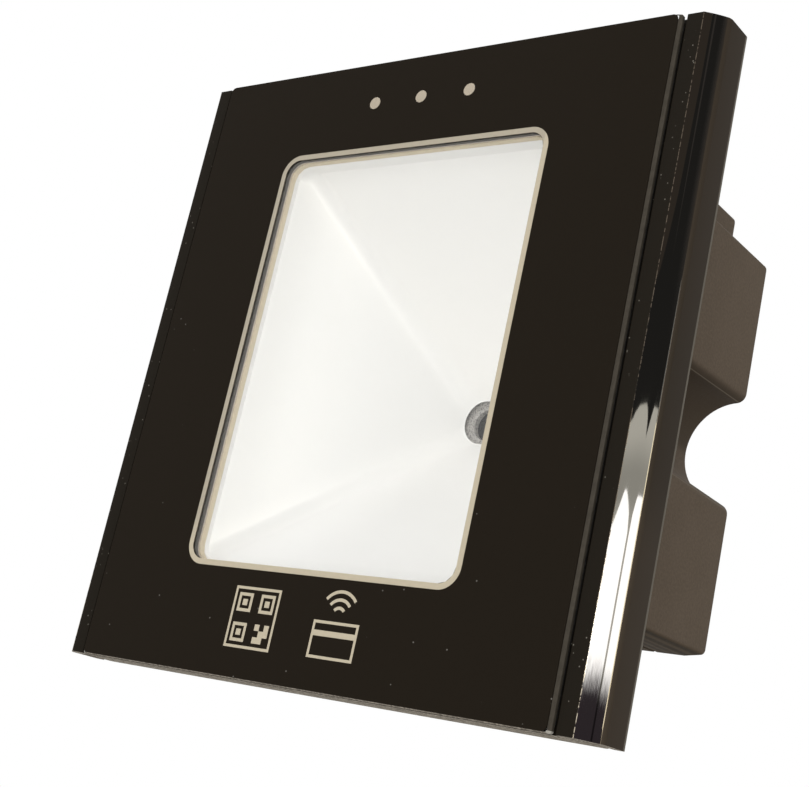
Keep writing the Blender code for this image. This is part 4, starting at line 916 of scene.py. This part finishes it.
left = [(-0.4, -0.03), (0.015, -0.03), (0.015, 0.098), (-0.006, 0.108), (-0.043, 0.1157)]
left += [(-0.07, 0.1205), (-0.085, 0.121), (-0.092, 0.119), (-0.1, 0.115), (-0.112, 0.108)]
left += [(-0.121, 0.096), (-0.4, 0.083)]
card("left_white_card", 0.6, left, white, strength=26, foot=(0.014, 0.036))
right = [(0.035, -0.03), (0.2, -0.03), (0.2, 0.121), (0.061, 0.1185), (0.052, 0.1157)]
right += [(0.038, 0.108), (0.035, 0.098)]
card("right_white_card", 0.6, right, white, strength=26, foot=(0.01, 0.032))
edge = [(0.12, 0.0), (0.9, 0.0), (0.9, 0.16), (0.12, 0.16)]
card("edge_line_card", 0.596, edge, (1, 0.88, 0.62), strength=20)
edge = [(0.12, 0.16), (0.5, 0.16), (0.5, 0.24), (0.12, 0.24)]
card("edge_shade_card", 0.596, edge, (1, 0.97, 0.9), strength=3)

rest()
bpy.ops.mesh.primitive_plane_add(size=3, location=(0, 0, -0.25))
floor = bpy.context.active_object
floor.name = "floor"
look, _, _ = finish("pale floor", (0.8, 0.8, 0.79), 0.8)
floor.data.materials.append(look)

world = bpy.data.worlds.new("studio")
bpy.context.scene.world = world
world.use_nodes = True
tree = world.node_tree
wire = Wire(tree)
kinds = ("Camera", "Glossy", "Transmission")
camera, glossy, through = [wire.node("LightPath", output=f"Is {kind} Ray") for kind in kinds]
seen = camera.most(glossy).most(through)
back = tree.nodes["Background"]
back.inputs["Color"].default_value = (1, 1, 1, 1)
tree.links.new((0.55 + 0.45 * seen).socket, back.inputs["Strength"])


def lamp(name, place, size, power, colour):
    """A soft square lamp that points at the reader and doesn't show in it."""
    light = bpy.data.lights.new(name, "AREA")
    light.size = size
    light.energy = power
    light.color = colour
    made = bpy.data.objects.new(name, light)
    made.location = place
    made.rotation_euler = (-Vector(place)).to_track_quat("-Z", "Y").to_euler()
    made.visible_glossy = made.visible_transmission = False
    bpy.context.scene.collection.objects.link(made)


lamp("key", (0.27, -0.82, -0.02), 0.6, 3.5, (1, 0.985, 0.96))
lamp("fill", (-0.4, -0.6, 0.5), 0.5, 1.0, (0.97, 0.98, 1))

bpy.context.scene.view_settings.view_transform = "Standard"
eye = bpy.data.cameras.new("eye")
eye.lens = 67.27
eye.sensor_width = 36
view = bpy.data.objects.new("eye", eye)
view.location = (0.124918, -0.146041, -0.052534)
view.rotation_euler = [math.radians(angle) for angle in (104.966, -12.080, 36.955)]
bpy.context.scene.collection.objects.link(view)
bpy.context.scene.camera = view
